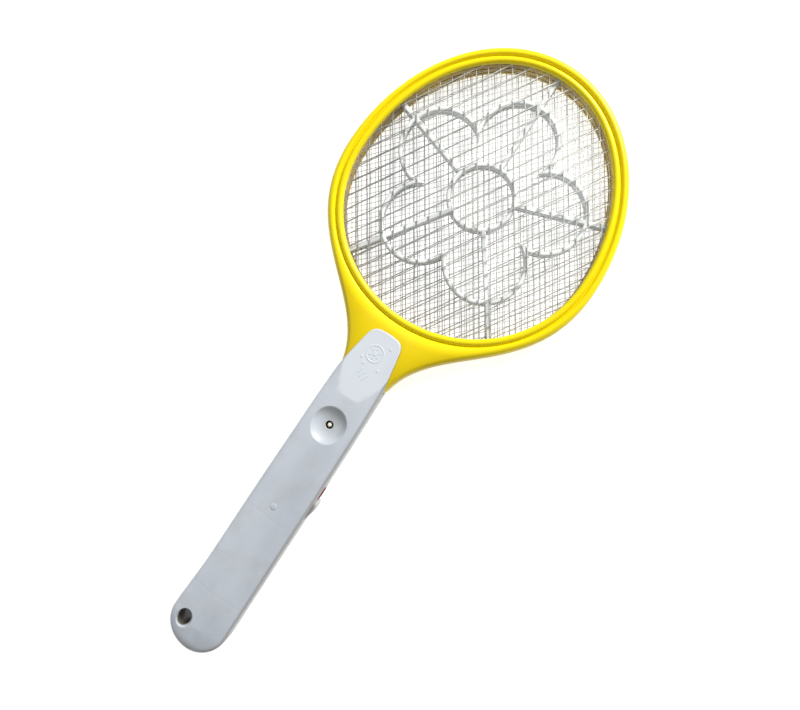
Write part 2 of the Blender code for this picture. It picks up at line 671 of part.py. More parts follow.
def build():
    """Every separate piece of the swatter, from the head down to the cells."""
    frame_half("front_frame", True)
    frame_half("back_frame", False)
    net_plate("front_net", WIRE_ANGLE, NET_PITCH, 14.75, -7.0)
    net_plate("live_net", LIVE_ANGLE, LIVE_PITCH, PART_Z, 0.0)
    net_plate("back_net", WIRE_ANGLE, NET_PITCH, 4.25, 7.0)
    spacer_ring("front_spacer_ring", 10.05, 14.2)
    spacer_ring("back_spacer_ring", 4.8, 8.95)
    flower("front_rib_flower", 10.35, 13.75)
    flower("back_rib_flower", 5.25, 8.65)
    for i, (x, y) in enumerate(RING_SCREWS):
        screw("rim_screw_%d" % (i + 1), x, y, 0.5, 1.7, 15.2, 1.95, 1.15)
    for i, (x, y) in enumerate(FLARE_SCREWS):
        screw("flare_screw_%d" % (i + 1), x, y, 0.5, 1.7, 15.2, 1.95, 1.15)

    front_shell()
    back_shell()
    door()
    for i, (x, y) in enumerate(NECK_SCREWS):
        screw("neck_screw_%d" % (i + 1), x, y, 0.5, 2.0, 22.8, 2.4, 1.2)
    for i, (x, y) in enumerate(HANDLE_SCREWS):
        screw("handle_screw_%d" % (i + 1), x, y, 2.6, 4.3, 19.6, 2.4, 1.2)

    button()
    box("switch_plunger", (9.0, BUTTON_Y - 1.1, 14.3), (13.3, BUTTON_Y + 1.1, 16.5), "plunger_white")
    coil("button_spring", (10.9, BUTTON_Y, 15.4), "X", 2.35, (2.0, 2.0), 2.5, 0.25)
    body = box("switch_body", (4.5, 131.0, 12.9), (10.5, 137.0, 18.2), "switch_black")
    cut(body, box("bore", (6.8, BUTTON_Y - 1.4, 14.0), (12.0, BUTTON_Y + 1.4, 16.8)))

    board = box("circuit_board", (-13.4, 128.0, 11.0), (13.4, 192.0, 12.6), "board_green")
    cut(board, box("corner", (12.5, 127.0, 10.0), (14.0, 141.0, 14.0)))
    box("transformer_core", (-11.6, 146.0, 12.9), (3.4, 158.5, 14.6), "ferrite")
    winding = post("transformer_winding", -4.1, 152.2, 5.6, 14.9, 21.4, 16, "winding_tape")
    join(winding, post("cheek", -4.1, 152.2, 6.4, 20.6, 21.6, 16))
    box("storage_capacitor", (-12.0, 161.5, 12.9), (-6.0, 178.0, 21.2), "film_capacitor")
    for i, y in enumerate((165.0, 173.5, 182.0)):
        profile = [(1.6, 12.9), (3.1, 14.0), (3.1, 17.4), (1.6, 18.4)]
        turned("boost_capacitor_%d" % (i + 1), 8.2, y, profile, 12, "ceramic_blue")
    transistor = post("transistor", -6.5, 136.0, 2.4, 14.6, 19.0, 12, "component_black")
    join(transistor, box("legs", (-8.1, 135.7, 12.9), (-4.9, 136.3, 15.2)))
    for i, x in enumerate((5.4, 8.4, 11.4)):
        profile = [(0.3, 0.0), (0.3, 1.6), (1.15, 1.6), (1.15, 5.4), (0.3, 5.4), (0.3, 7.0)]
        rings = [[(x + r * cos(pi * k / 4), 150.0 + w, 14.3 + r * sin(pi * k / 4)) for k in range(8)]
                 for r, w in profile]
        stack("diode_%d" % (i + 1), rings, "component_black")
    profile = [(0.3, 0.0), (0.3, 1.4), (1.1, 1.7), (0.9, 3.0), (1.1, 6.0), (0.3, 6.4), (0.3, 7.8)]
    rings = [[(-0.6 + r * cos(pi * k / 4), 138.0 + w, 14.2 + r * sin(pi * k / 4)) for k in range(8)]
             for r, w in profile]
    stack("resistor", rings, "resistor_tan")
    profile = [(1.95, 17.0), (1.95, 18.0), (1.5, 18.0), (1.5, 21.7), (1.15, 22.6), (0.5, 23.1)]
    led = turned("indicator_led", DISH[0], DISH[1], profile, 12, "led_lens")
    for x in (-0.7, 0.7):
        leg = (DISH[0] + x, DISH[1])
        join(led, box("leg", (leg[0] - 0.25, leg[1] - 0.25, 12.9), (leg[0] + 0.25, leg[1] + 0.25, 17.4)))

    cell("battery_1", -7.6, 51.9, 1)
    cell("battery_2", 7.6, 94.9, -1)
    box("link_plate", (-12.6, 43.4, 5.0), (12.6, 43.9, 16.0), "contact_nickel")
    box("positive_plate", (-12.6, 102.7, 5.0), (-2.6, 103.2, 16.0), "contact_nickel")
    box("negative_plate", (2.6, 102.7, 5.0), (12.6, 103.2, 16.0), "contact_nickel")
    coil("cell_spring_1", (-7.6, 44.6, 10.6), "Y", 6.6, (4.2, 2.4), 2.5, 0.35)
    coil("cell_spring_2", (7.6, 102.0, 10.6), "Y", -6.4, (4.2, 2.4), 2.5, 0.35)
    red = [(-7.0, 103.6, 7.0), (-7.0, 105.6, 5.6), (-5.0, 112.0, 5.6), (-5.0, 124.0, 8.0), (-5.0, 127.2, 11.8)]
    black = [(7.0, 103.6, 7.0), (7.0, 105.6, 5.6), (5.0, 112.0, 5.6), (5.0, 124.0, 8.0), (5.0, 127.2, 11.8)]
    tube("battery_lead_red", red, 0.65, 6, "lead_red")
    tube("battery_lead_black", black, 0.65, 6, "lead_black")
    front = [(-5.0, 192.6, 11.8), (-5.0, 200.0, 12.6), (-6.5, 230.0, 13.4), (-7.0, 251.0, 14.75)]
    live = [(0.0, 192.6, 11.8), (0.0, 200.0, 9.5), (0.0, 251.0, 9.5)]
    back = [(5.0, 192.6, 11.8), (5.0, 200.0, 9.0), (6.5, 230.0, 7.0), (7.0, 251.0, 4.35)]
    tube("front_net_lead", front, 0.65, 6, "lead_white")
    tube("live_net_lead", live, 0.65, 6, "lead_red")
    tube("back_net_lead", back, 0.65, 6, "lead_white")


for old in list(bpy.data.objects):
    bpy.data.objects.remove(old, do_unlink=True)
build()
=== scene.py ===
from math import cos, hypot, pi, radians, sin, sqrt

import bmesh
import bpy
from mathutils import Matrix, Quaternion, Vector


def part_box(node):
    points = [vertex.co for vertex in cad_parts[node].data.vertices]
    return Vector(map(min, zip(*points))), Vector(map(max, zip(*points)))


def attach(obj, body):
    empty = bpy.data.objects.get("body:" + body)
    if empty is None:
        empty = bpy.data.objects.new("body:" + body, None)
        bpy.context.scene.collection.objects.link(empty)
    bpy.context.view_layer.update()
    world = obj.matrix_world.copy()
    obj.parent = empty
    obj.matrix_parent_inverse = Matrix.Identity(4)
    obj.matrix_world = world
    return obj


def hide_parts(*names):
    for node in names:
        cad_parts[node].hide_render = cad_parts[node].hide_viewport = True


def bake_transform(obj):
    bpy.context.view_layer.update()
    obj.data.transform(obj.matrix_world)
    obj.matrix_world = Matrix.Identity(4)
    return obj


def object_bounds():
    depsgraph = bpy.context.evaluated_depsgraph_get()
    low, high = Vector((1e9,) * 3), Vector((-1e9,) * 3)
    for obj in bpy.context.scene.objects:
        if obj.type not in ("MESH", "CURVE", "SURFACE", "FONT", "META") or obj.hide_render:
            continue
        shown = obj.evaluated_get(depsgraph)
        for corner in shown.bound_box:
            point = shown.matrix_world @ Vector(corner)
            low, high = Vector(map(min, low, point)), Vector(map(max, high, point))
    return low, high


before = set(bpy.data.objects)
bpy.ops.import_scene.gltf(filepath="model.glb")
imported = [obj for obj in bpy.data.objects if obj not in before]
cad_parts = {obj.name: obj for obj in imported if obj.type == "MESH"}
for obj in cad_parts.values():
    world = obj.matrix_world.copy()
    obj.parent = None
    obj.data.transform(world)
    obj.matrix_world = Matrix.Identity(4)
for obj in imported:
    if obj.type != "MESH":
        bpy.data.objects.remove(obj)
cad_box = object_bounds()


# Studio: a white light table, one broad low lamp beyond the head, a weak one from the grip side and
# an even white surround. The camera hangs over the racket, turned and tilted a little.
TABLE_HALF, TABLE_Z = 3.0, -0.0002
TURN, TILT, EYE = 33.33, (2.07, 5.34), (0.0531, 0.0185, 0.430)


def stand(name, data):
    """Puts a mesh, lamp or camera into the scene."""
    thing = bpy.data.objects.new(name, data)
    bpy.context.scene.collection.objects.link(thing)
    return thing


def principled(name):
    """A new material, its node tree and its shader."""
    mat = bpy.data.materials.new(name)
    mat.use_nodes = True
    return mat, mat.node_tree, mat.node_tree.nodes["Principled BSDF"]


studio = bpy.data.worlds.new("studio_surround")
studio.use_nodes = True
surround = studio.node_tree.nodes["Background"]
surround.inputs["Color"].default_value = (0.93, 0.96, 1.0, 1.0)
surround.inputs["Strength"].default_value = 0.36
bpy.context.scene.world = studio
bpy.context.scene.view_settings.view_transform = "Standard"

table = bpy.data.meshes.new("table_top")
corners = [(x * TABLE_HALF, y * TABLE_HALF, TABLE_Z) for x, y in ((-1, -1), (1, -1), (1, 1), (-1, 1))]
table.from_pydata(corners, [], [(0, 1, 2, 3)])
table_top = stand("table_top", table)
table_paper, _, paper = principled("table_paper")
paper.inputs["Base Color"].default_value = (0.60, 0.60, 0.60, 1.0)
paper.inputs["Emission Color"].default_value = (1.0, 1.0, 1.0, 1.0)
paper.inputs["Emission Strength"].default_value = 0.78
paper.inputs["Roughness"].default_value = 0.9
paper.inputs["Specular IOR Level"].default_value = 0.1
table.materials.append(table_paper)


def hang_lamp(name, place, size, watts, colour):
    """A square soft lamp, turned to the middle of the table."""
    lamp = bpy.data.lights.new(name, "AREA")
    lamp.shape = "SQUARE"
    lamp.size = size
    lamp.energy = watts
    lamp.color = colour
    holder = stand(name, lamp)
    holder.location = place
    holder.rotation_euler = (-Vector(place)).to_track_quat("-Z", "Y").to_euler()


hang_lamp("head_lamp", (0.20, 1.30, 0.76), 0.6, 39.0, (1.0, 0.985, 0.95))
hang_lamp("grip_lamp", (-0.9, -0.5, 1.1), 1.0, 3.0, (0.92, 0.96, 1.0))

camera = bpy.data.cameras.new("camera")
camera.lens = 28.3
camera.clip_start = 0.01
eye = stand("camera", camera)
tilt = Quaternion((TILT[0], TILT[1], 0.0), radians(hypot(*TILT)))
eye.location = EYE
eye.rotation_mode = "QUATERNION"
eye.rotation_quaternion = Quaternion((0, 0, 1), radians(TURN)) @ tilt
bpy.context.scene.camera = eye


# Head half shells: two injection-moulded yellow styrene shells that close on each other. Each has a
# rolled flange, a groove, a rounded bead round the opening, and a flare that runs down to the neck.
# Sizes are in millimetres from the butt end, as on a drawing; place() takes them to the frame.
BUTT_END = cad_box[0].y
HEAD_Y, HEAD_HALF, HEAD_UP = 342.1, 96.4, 117.9
OPEN_HALF, OPEN_UP, OPEN_LOW = 85.7, 106.5, 80.8
RING_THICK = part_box("front_frame")[1].z * 1000
NECK_END, NECK_HALF = 212.3, 17.75
STUB_HALF, CHANNEL_HALF = 15.3, 13.3


def place(point):
    """Drawing millimetres to metres in the frame."""
    return (point[0] / 1000, BUTT_END + point[1] / 1000, point[2] / 1000)


def make_piece(name, verts, faces, smooth=32):
    """A mesh piece with merged points, outward faces and smooth shading up to an angle."""
    mesh = bpy.data.meshes.new(name)
    mesh.from_pydata([place(v) for v in verts], [], faces)
    work = bmesh.new()
    work.from_mesh(mesh)
    bmesh.ops.remove_doubles(work, verts=work.verts, dist=1e-7)
    bmesh.ops.recalc_face_normals(work, faces=work.faces)
    work.to_mesh(mesh)
    work.free()
    shade(mesh, smooth)
    return stand(name, mesh)


def shade(mesh, angle):
    mesh.polygons.foreach_set("use_smooth", [True] * len(mesh.polygons))
    mesh.set_sharp_from_angle(angle=radians(angle))


def closed_loft(name, stations, smooth=32):
    """A ring-shaped piece: every station is the same closed section, and the last meets the first."""
    count = len(stations[0])
    verts = [p for station in stations for p in station]
    faces = []
    for i in range(len(stations)):
        here, there = i * count, ((i + 1) % len(stations)) * count
        for j in range(count):
            k = (j + 1) % count
            faces.append((here + j, here + k, there + k, there + j))
    return make_piece(name, verts, faces, smooth)


def capped_loft(name, rings, smooth=32):
    """A piece lofted through closed rings, with a flat cap at both ends."""
    count = len(rings[0])
    verts = [p for ring in rings for p in ring]
    faces = [tuple(range(count))[::-1]]
    for i in range(len(rings) - 1):
        for j in range(count):
            k = (j + 1) % count
            faces.append((i * count + j, i * count + k, (i + 1) * count + k, (i + 1) * count + j))
    faces.append(tuple((len(rings) - 1) * count + j for j in range(count)))
    return make_piece(name, verts, faces, smooth)


def ellipse(x, y, rx, ry=None, count=48):
    ry = rx if ry is None else ry
    return [(x + rx * cos(2 * pi * i / count), y + ry * sin(2 * pi * i / count)) for i in range(count)]


def upright(name, outline, levels):
    """An outline carried through z levels."""
    return capped_loft(name, [[(x, y, z) for x, y in outline] for z in levels])


def block(name, low, high):
    corners = [(low[0], low[1]), (high[0], low[1]), (high[0], high[1]), (low[0], high[1])]
    return upright(name, corners, (low[2], high[2]))


def turned_part(name, x, y, profile, count=48, smooth=32):
    """An upright turned piece from (radius, z) pairs."""
    return capped_loft(name, [[(a, b, z) for a, b in ellipse(x, y, r, r, count)] for r, z in profile], smooth)


def settle(piece, smooth=32):
    """Turns the evaluated piece into its plain mesh and takes its modifiers off."""
    graph = bpy.context.evaluated_depsgraph_get()
    mesh = bpy.data.meshes.new_from_object(piece.evaluated_get(graph))
    piece.modifiers.clear()
    mesh.name = piece.name
    piece.data = mesh
    if smooth:
        shade(mesh, smooth)
    return piece


def shape(piece, tool, operation):
    """Cuts the tool out of the piece, or welds it on; the tool is used up."""
    step = piece.modifiers.new("shape", "BOOLEAN")
    step.operation = operation
    step.solver = "EXACT"
    step.object = tool
    settle(piece)
    bpy.data.objects.remove(tool, do_unlink=True)
    return piece


def cut(piece, tool):
    return shape(piece, tool, "DIFFERENCE")


def weld(piece, tool):
    return shape(piece, tool, "UNION")


def break_edges(piece, width, angle=40, segments=2):
    """The small radius a mould leaves on every sharp edge."""
    step = piece.modifiers.new("radius", "BEVEL")
    step.width = width / 1000
    step.segments = segments
    step.limit_method = "ANGLE"
    step.angle_limit = radians(angle)
    level = piece.modifiers.new("level", "WEIGHTED_NORMAL")
    level.weight = 95
    level.keep_sharp = True
    return settle(piece, 0)


def opening_ring(extra=0.0, count=240):
    """The head opening's outline, grown outward by extra."""
    ring = []
    for i in range(count):
        a = -pi / 2 + 2 * pi * i / count
        reach = OPEN_UP if sin(a) > 0 else OPEN_LOW
        ring.append(((OPEN_HALF + extra) * cos(a), HEAD_Y + (reach + extra) * sin(a)))
    return ring


def flare_path():
    """From the head's widest point down the concave flare to the middle of the neck end."""
    low, pull_low, pull_high = (17.34, 204.6), 55.2, 75.5
    path = []
    for i in range(241):
        t = 1 - i / 240
        a, b, c, d = (1 - t) ** 3, 3 * (1 - t) ** 2 * t, 3 * (1 - t) * t * t, t ** 3
        x = low[0] * (a + b) + HEAD_HALF * (c + d)
        y = low[1] * a + (low[1] + pull_low) * b + (HEAD_Y - pull_high) * c + HEAD_Y * d
        if y > NECK_END + 0.6:
            path.append((x, y))
    path += [(NECK_HALF, NECK_END), (0.0, NECK_END)]
    return path


def along_path(path, distance):
    for (ax, ay), (bx, by) in zip(path, path[1:]):
        step = hypot(bx - ax, by - ay)
        if distance <= step:
            return (ax + (bx - ax) * distance / step, ay + (by - ay) * distance / step)
        distance -= step
    return path[-1]


def head_ring(count=240):
    """The head's outer outline, each point facing one of opening_ring()."""
    path = flare_path()
    length = sum(hypot(b[0] - a[0], b[1] - a[1]) for a, b in zip(path, path[1:]))
    bend = (length - OPEN_LOW * pi / 2) / (pi / 2) ** 3
    ring = []
    for i in range(count):
        a = -pi / 2 + 2 * pi * i / count
        if sin(a) >= -1e-9:
            ring.append((HEAD_HALF * cos(a), HEAD_Y + HEAD_UP * sin(a)))
        else:
            down = -a if a < 0 else a - pi
            x, y = along_path(path, min(OPEN_LOW * down + bend * down ** 3, length))
            ring.append((x if cos(a) >= 0 else -x, y))
    return ring


def inward(ring, depth):
    """A ring drawn in by depth along its own normals."""
    moved = []
    for i, (x, y) in enumerate(ring):
        ax, ay = ring[i - 1]
        bx, by = ring[(i + 1) % len(ring)]
        nx, ny = by - ay, ax - bx
        size = hypot(nx, ny) or 1.0
        moved.append((x - depth * nx / size, y - depth * ny / size))
    return moved


RIM_SECTION = [
    ("out", 0.0, 9.65), ("out", 0.0, 13.6), ("out", 0.12, 14.9), ("out", 0.45, 16.2), ("out", 1.0, 17.3),
    ("out", 1.8, 18.2), ("out", 2.8, 18.8), ("out", 3.6, 18.97), ("in", 6.5, 18.85), ("in", 6.05, 18.55),
    ("in", 5.7, 18.0), ("in", 5.35, 17.3), ("in", 4.95, 16.95), ("in", 4.55, 17.3), ("in", 4.2, 18.0),
    ("in", 3.75, 18.55), ("in", 3.0, 18.9), ("in", 2.1, 19.0), ("in", 1.3, 18.8), ("in", 0.65, 18.35),
    ("in", 0.22, 17.7), ("in", 0.0, 16.9), ("in", 0.0, 15.5), ("in", 0.2, 15.3), ("out", 2.2, 15.3),
    ("out", 2.2, 9.65)]
RIM_SCREWS = []
for bearing in (90, 32, 148, -14, 194):
    high = sin(radians(bearing)) > 0
    reach = OPEN_UP + 6.6 if high else OPEN_LOW + 6.1
    RIM_SCREWS.append(((OPEN_HALF + 6.1) * cos(radians(bearing)), HEAD_Y + reach * sin(radians(bearing))))
FLARE_SCREWS = [(-26.5, 246.0), (26.5, 246.0)]
NECK_SCREWS = [(-9.5, 207.3), (9.5, 207.3)]
SCREW_RECESS = [(2.6, -0.6), (2.3, 0.3), (2.3, 1.9), (1.5, 2.0), (1.4, 6.0)]


def head_shell(name, front):
    """One half shell: the rim section carried round the opening, with its neck stub."""
    outer = head_ring()
    rings = []
    for side, depth, z in RIM_SECTION:
        flat = inward(outer, depth) if side == "out" else opening_ring(depth)
        height = z if front else RING_THICK - z
        rings.append([(x, y, height) for x, y in flat])
    piece = closed_loft(name, list(zip(*rings)), 38)
    low, high = (9.65, 18.9) if front else (4.4, 9.35)
    floor = (8.0, 16.9) if front else (6.4, 11.0)
    weld(piece, block("stub", (-STUB_HALF, 198.0, low), (STUB_HALF, 213.9, high)))
    cut(piece, block("channel", (-CHANNEL_HALF, 195.0, floor[0]), (CHANNEL_HALF, 216.5, floor[1])))
    for x, y in NECK_SCREWS:
        cut(piece, upright("hole", ellipse(x, y, 1.6, count=24), (low - 1, high + 1)))
    if not front:
        for x, y in RIM_SCREWS + FLARE_SCREWS:
            cut(piece, turned_part("recess", x, y, SCREW_RECESS, 30))
    shade(piece.data, 38)
    return piece


def put_node(tree, kind, **values):
    """A shader or geometry node with its settings and unlinked inputs."""
    node = tree.nodes.new(kind)
    for key, value in values.items():
        if key.startswith("in_"):
            node.inputs[int(key[3:])].default_value = value
        else:
            setattr(node, key, value)
    return node


def ramp(tree, low, high, source):
    """A smooth 0 to 1 step of a value between two limits."""
    node = put_node(tree, "ShaderNodeMapRange", interpolation_type="SMOOTHSTEP")
    node.inputs["From Min"].default_value = low
    node.inputs["From Max"].default_value = high
    tree.links.new(source, node.inputs["Value"])
    return node.outputs["Result"]


def blend_colour(tree, factor, first, second):
    """Colour first where factor is 0, second where it is 1; each is a socket or a colour."""
    node = put_node(tree, "ShaderNodeMix", data_type="RGBA")
    tree.links.new(factor, node.inputs[0])
    for socket, value in ((node.inputs[6], first), (node.inputs[7], second)):
        if isinstance(value, tuple):
            socket.default_value = (*value, 1.0)
        else:
            tree.links.new(value, socket)
    return node.outputs[2]


def shader_math(tree, operation, first, second=None):
    node = put_node(tree, "ShaderNodeMath", operation=operation)
    for socket, value in zip(node.inputs, (first, second)):
        if isinstance(value, (int, float)):
            socket.default_value = value
        elif value is not None:
            tree.links.new(value, socket)
    return node.outputs[0]


def times(tree, first, second):
    return shader_math(tree, "MULTIPLY", first, second)


def plus(tree, first, second):
    return shader_math(tree, "ADD", first, second)


def noise(tree, scale, detail=3.0, rough=0.5, stretch=None):
    """Noise on the piece's own coordinates, optionally stretched along its axes."""
    place_node = put_node(tree, "ShaderNodeTexCoord")
    texture = put_node(tree, "ShaderNodeTexNoise")
    texture.inputs["Scale"].default_value = scale
    texture.inputs["Detail"].default_value = detail
    texture.inputs["Roughness"].default_value = rough
    if stretch:
        mapping = put_node(tree, "ShaderNodeMapping")
        mapping.inputs["Scale"].default_value = stretch
        tree.links.new(place_node.outputs["Object"], mapping.inputs["Vector"])
        tree.links.new(mapping.outputs["Vector"], texture.inputs["Vector"])
    else:
        tree.links.new(place_node.outputs["Object"], texture.inputs["Vector"])
    return texture.outputs["Fac"]


def add_relief(tree, height, strength, distance):
    """A bump from a height, on top of any bump the shader has."""
    shader = tree.nodes["Principled BSDF"]
    relief = put_node(tree, "ShaderNodeBump")
    relief.inputs["Strength"].default_value = strength
    relief.inputs["Distance"].default_value = distance
    tree.links.new(height, relief.inputs["Height"])
    if shader.inputs["Normal"].links:
        tree.links.new(shader.inputs["Normal"].links[0].from_socket, relief.inputs["Normal"])
    tree.links.new(relief.outputs["Normal"], shader.inputs["Normal"])
    return relief


def moulded_group():
    """What every moulded piece shares: flow mottle, handling smudges, fine scuffs, worn and dusty edges."""
    group = bpy.data.node_groups.new("moulded_surface", "ShaderNodeTree")
    for name, value in (("Mottle", 0.5), ("Smudge", 0.5), ("Grain Size", 900.0), ("Dust", 0.3)):
        socket = group.interface.new_socket(name, in_out="INPUT", socket_type="NodeSocketFloat")
        socket.default_value = value
    for name in ("Shade", "Rough", "Height", "Soil"):
        group.interface.new_socket(name, in_out="OUTPUT", socket_type="NodeSocketFloat")
    entry = group.nodes.new("NodeGroupInput")
    leave = group.nodes.new("NodeGroupOutput")
    flow = ramp(group, 0.35, 0.68, noise(group, 26.0, 4.0, 0.55, (1.0, 0.45, 1.0)))
    smudge = ramp(group, 0.48, 0.72, noise(group, 60.0, 5.0, 0.62))
    scuff = ramp(group, 0.60, 0.74, noise(group, 420.0, 2.0, 0.5, (1.0, 0.12, 1.0)))
    grain_coords = put_node(group, "ShaderNodeTexCoord")
    grain = put_node(group, "ShaderNodeTexNoise")
    grain.inputs["Detail"].default_value = 2.0
    group.links.new(grain_coords.outputs["Object"], grain.inputs["Vector"])
    group.links.new(entry.outputs["Grain Size"], grain.inputs["Scale"])
    shade_value = times(group, flow, entry.outputs["Mottle"])
    soil = times(group, smudge, entry.outputs["Smudge"])
    geometry = put_node(group, "ShaderNodeNewGeometry")
    crevice = ramp(group, 0.5, 0.42, geometry.outputs["Pointiness"])
    dust = times(group, crevice, entry.outputs["Dust"])
    soil = shader_math(group, "MAXIMUM", soil, dust)
    rough = times(group, plus(group, smudge, scuff), 0.09)
    height = plus(group, grain.outputs["Fac"], times(group, flow, 0.6))
    group.links.new(shade_value, leave.inputs["Shade"])
    group.links.new(soil, leave.inputs["Soil"])
    group.links.new(rough, leave.inputs["Rough"])
    group.links.new(height, leave.inputs["Height"])
    return group


MOULDED = moulded_group()


def plastic(name, light, dark, soil, rough, mottle=0.6, smudge=0.35, dust=0.3, grain=900.0, bump=0.02,
            coat=0.0, subsurface=0.0, gloss=0.5):
    """A moulded plastic: two tones of its colour, soil in its crevices, grain in its gloss and surface."""
    mat, tree, shader = principled(name)
    group = put_node(tree, "ShaderNodeGroup", node_tree=MOULDED)
    for key, value in (("Mottle", mottle), ("Smudge", smudge), ("Dust", dust), ("Grain Size", grain)):
        group.inputs[key].default_value = value
    tone = blend_colour(tree, group.outputs["Shade"], light, dark)
    tone = blend_colour(tree, group.outputs["Soil"], tone, soil)
    tree.links.new(tone, shader.inputs["Base Color"])
    tree.links.new(plus(tree, group.outputs["Rough"], rough), shader.inputs["Roughness"])
    add_relief(tree, group.outputs["Height"], bump * 10, 0.0001)
    shader.inputs["Specular IOR Level"].default_value = gloss
    shader.inputs["Coat Weight"].default_value = coat
    shader.inputs["Coat Roughness"].default_value = 0.2
    shader.inputs["Subsurface Weight"].default_value = subsurface
    shader.inputs["Subsurface Radius"].default_value = (0.0012, 0.0010, 0.0006)
    return mat


def axes(tree):
    """The piece's own X, Y and Z as separate values."""
    coords = put_node(tree, "ShaderNodeTexCoord")
    split = put_node(tree, "ShaderNodeSeparateXYZ")
    tree.links.new(coords.outputs["Object"], split.inputs[0])
    return [split.outputs[i] for i in range(3)]


def oval_reach(tree, centre, half_x, half_y):
    """How far a point is from an upright oval's middle, as a part of the way to its edge."""
    x, y, _ = axes(tree)
    across = shader_math(tree, "DIVIDE", shader_math(tree, "SUBTRACT", x, centre[0] / 1000), half_x / 1000)
    along = shader_math(tree, "SUBTRACT", y, BUTT_END + centre[1] / 1000)
    along = shader_math(tree, "DIVIDE", along, half_y / 1000)
    square = plus(tree, shader_math(tree, "POWER", shader_math(tree, "ABSOLUTE", across), 2.0),
                  shader_math(tree, "POWER", shader_math(tree, "ABSOLUTE", along), 2.0))
    return shader_math(tree, "SQRT", square)


def paint_light_and_shade(mat, mask, colour, amount):
    """Painted light and shade: mixes a colour over what a plastic already shows, where the mask is 1."""
    tree = mat.node_tree
    shader = tree.nodes["Principled BSDF"]
    under = shader.inputs["Base Color"].links[0].from_socket
    mask = times(tree, mask, amount)
    tree.links.new(blend_colour(tree, mask, under, colour), shader.inputs["Base Color"])


YELLOW = plastic("yellow_styrene", (0.63, 0.475, 0.0), (0.595, 0.44, 0.0), (0.42, 0.29, 0.01), 0.30,
                 mottle=0.55, smudge=0.10, dust=0.35, grain=700.0, bump=0.015, gloss=0.3)


def near_opening(tree, far, near):
    """1 on the opening's edge and inside it, falling to 0 outside; the limits are parts of its size."""
    upper, lower = [ramp(tree, far, near, oval_reach(tree, (0, HEAD_Y), OPEN_HALF, reach))
                    for reach in (OPEN_UP, OPEN_LOW)]
    head_end = shader_math(tree, "GREATER_THAN", axes(tree)[1], BUTT_END + HEAD_Y / 1000)
    return shader_math(tree, "MAXIMUM", times(tree, upper, head_end), lower)


# Painted highlight: the rim round the opening is painted lighter than the flare.
paint_light_and_shade(YELLOW, near_opening(YELLOW.node_tree, 1.17, 1.09), (0.84, 0.68, 0.003), 0.75)
# Painted shade: the opening's inner wall below the front lip is painted dark brown.
under_lip = ramp(YELLOW.node_tree, 0.0166, 0.0150, axes(YELLOW.node_tree)[2])
painted_wall_shade = times(YELLOW.node_tree, near_opening(YELLOW.node_tree, 1.020, 1.008), under_lip)
paint_light_and_shade(YELLOW, painted_wall_shade, (0.48, 0.35, 0.10), 0.85)
# A darker brown copy of the yellow: painted shade for the spacer rings down inside the rim.
PAINTED_SHADE_YELLOW = plastic("sooted_yellow_styrene", (0.60, 0.44, 0.12), (0.40, 0.28, 0.10), (0.20, 0.15, 0.09),
                        0.55, mottle=1.0, smudge=0.6, dust=0.5, grain=700.0, bump=0.03, gloss=0.2)


def wear(piece, mat):
    """One finish all over a piece."""
    piece.data.materials.clear()
    piece.data.materials.append(mat)
    return piece


for node in ("front_frame", "back_frame"):
    shell = wear(head_shell(node + "_shell", node == "front_frame"), YELLOW)
    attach(shell, "racket")
    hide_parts(node)


# Spacer rings: two plain yellow rings that lie inside the rim and press the outer nets against the
# lips and the live net between them. Each is notched where a spoke of the rib piece ends. They wear a darker
# brown copy of the yellow, painted shade for the shadow inside the rim.
FLOWER_Y, CORE_R, PETAL_R, PETAL_OUT, RIB_WIDE = 357.0, 22.0, 27.2, 43.2, 3.0
SPOKES = [radians(90 + 72 * i) for i in range(5)]


def spoke_reach(angle):
    """How far the opening's wall is from the flower's centre in one direction."""
    reach = 30.0
    while reach < 130.0:
        x, y = reach * cos(angle), FLOWER_Y + reach * sin(angle) - HEAD_Y
        if hypot(x / OPEN_HALF, y / (OPEN_UP if y > 0 else OPEN_LOW)) > 1.0:
            break
        reach += 0.1
    return reach


def flat_bar(name, start, end, angle, wide, low, high, round_over=0.0):
    """A straight bar from one radius to another about the flower's centre."""
    c, s = cos(angle), sin(angle)
    rings = []
    levels = ((low, round_over), (low + round_over, 0.0), (high - round_over, 0.0), (high, round_over))
    for z, inset in levels if round_over else ((low, 0.0), (high, 0.0)):
        half = wide / 2 - inset
        flat = ((start, -half), (end, -half), (end, half), (start, half))
        rings.append([(u * c - v * s, FLOWER_Y + u * s + v * c, z) for u, v in flat])
    return capped_loft(name, rings)


for node in ("front_spacer_ring", "back_spacer_ring"):
    low, high = (v.z * 1000 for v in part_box(node))
    inner, outer = opening_ring(0.3), opening_ring(3.0)
    section = [[(*a, low), (*b, low), (*b, high), (*a, high)] for a, b in zip(inner, outer)]
    ring = closed_loft(node + "_rim", section)
    for angle in SPOKES:
        reach = spoke_reach(angle)
        cut(ring, flat_bar("notch", reach - 17.3, reach + 1.3, angle, RIB_WIDE + 0.7, low - 1, high + 1))
    wear(ring, PAINTED_SHADE_YELLOW)
    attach(ring, "racket")
    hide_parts(node)


# Rib flowers: pale grey moulded ribs that keep the live net off the outer ones. A core ring, five
# petals joined at cusps, and five spokes whose ends plug into the spacer ring.
RIB_GREY = plastic("rib_styrene", (0.70, 0.72, 0.71), (0.62, 0.64, 0.63), (0.44, 0.42, 0.37), 0.46,
                   mottle=0.6, smudge=0.25, dust=0.45, grain=800.0, bump=0.02)


def petal_ring(grow, steps=16):
    """The flower's outline: the outer arcs of five circles, grown outward."""
    ring = []
    for petal in SPOKES:
        for step in range(-steps, steps):
            t = radians(36.0 * step / steps)
            a = petal + t
            reach = PETAL_OUT * cos(t) + sqrt((PETAL_R + grow) ** 2 - (PETAL_OUT * sin(t)) ** 2)
            ring.append((reach * cos(a), FLOWER_Y + reach * sin(a)))
    return ring


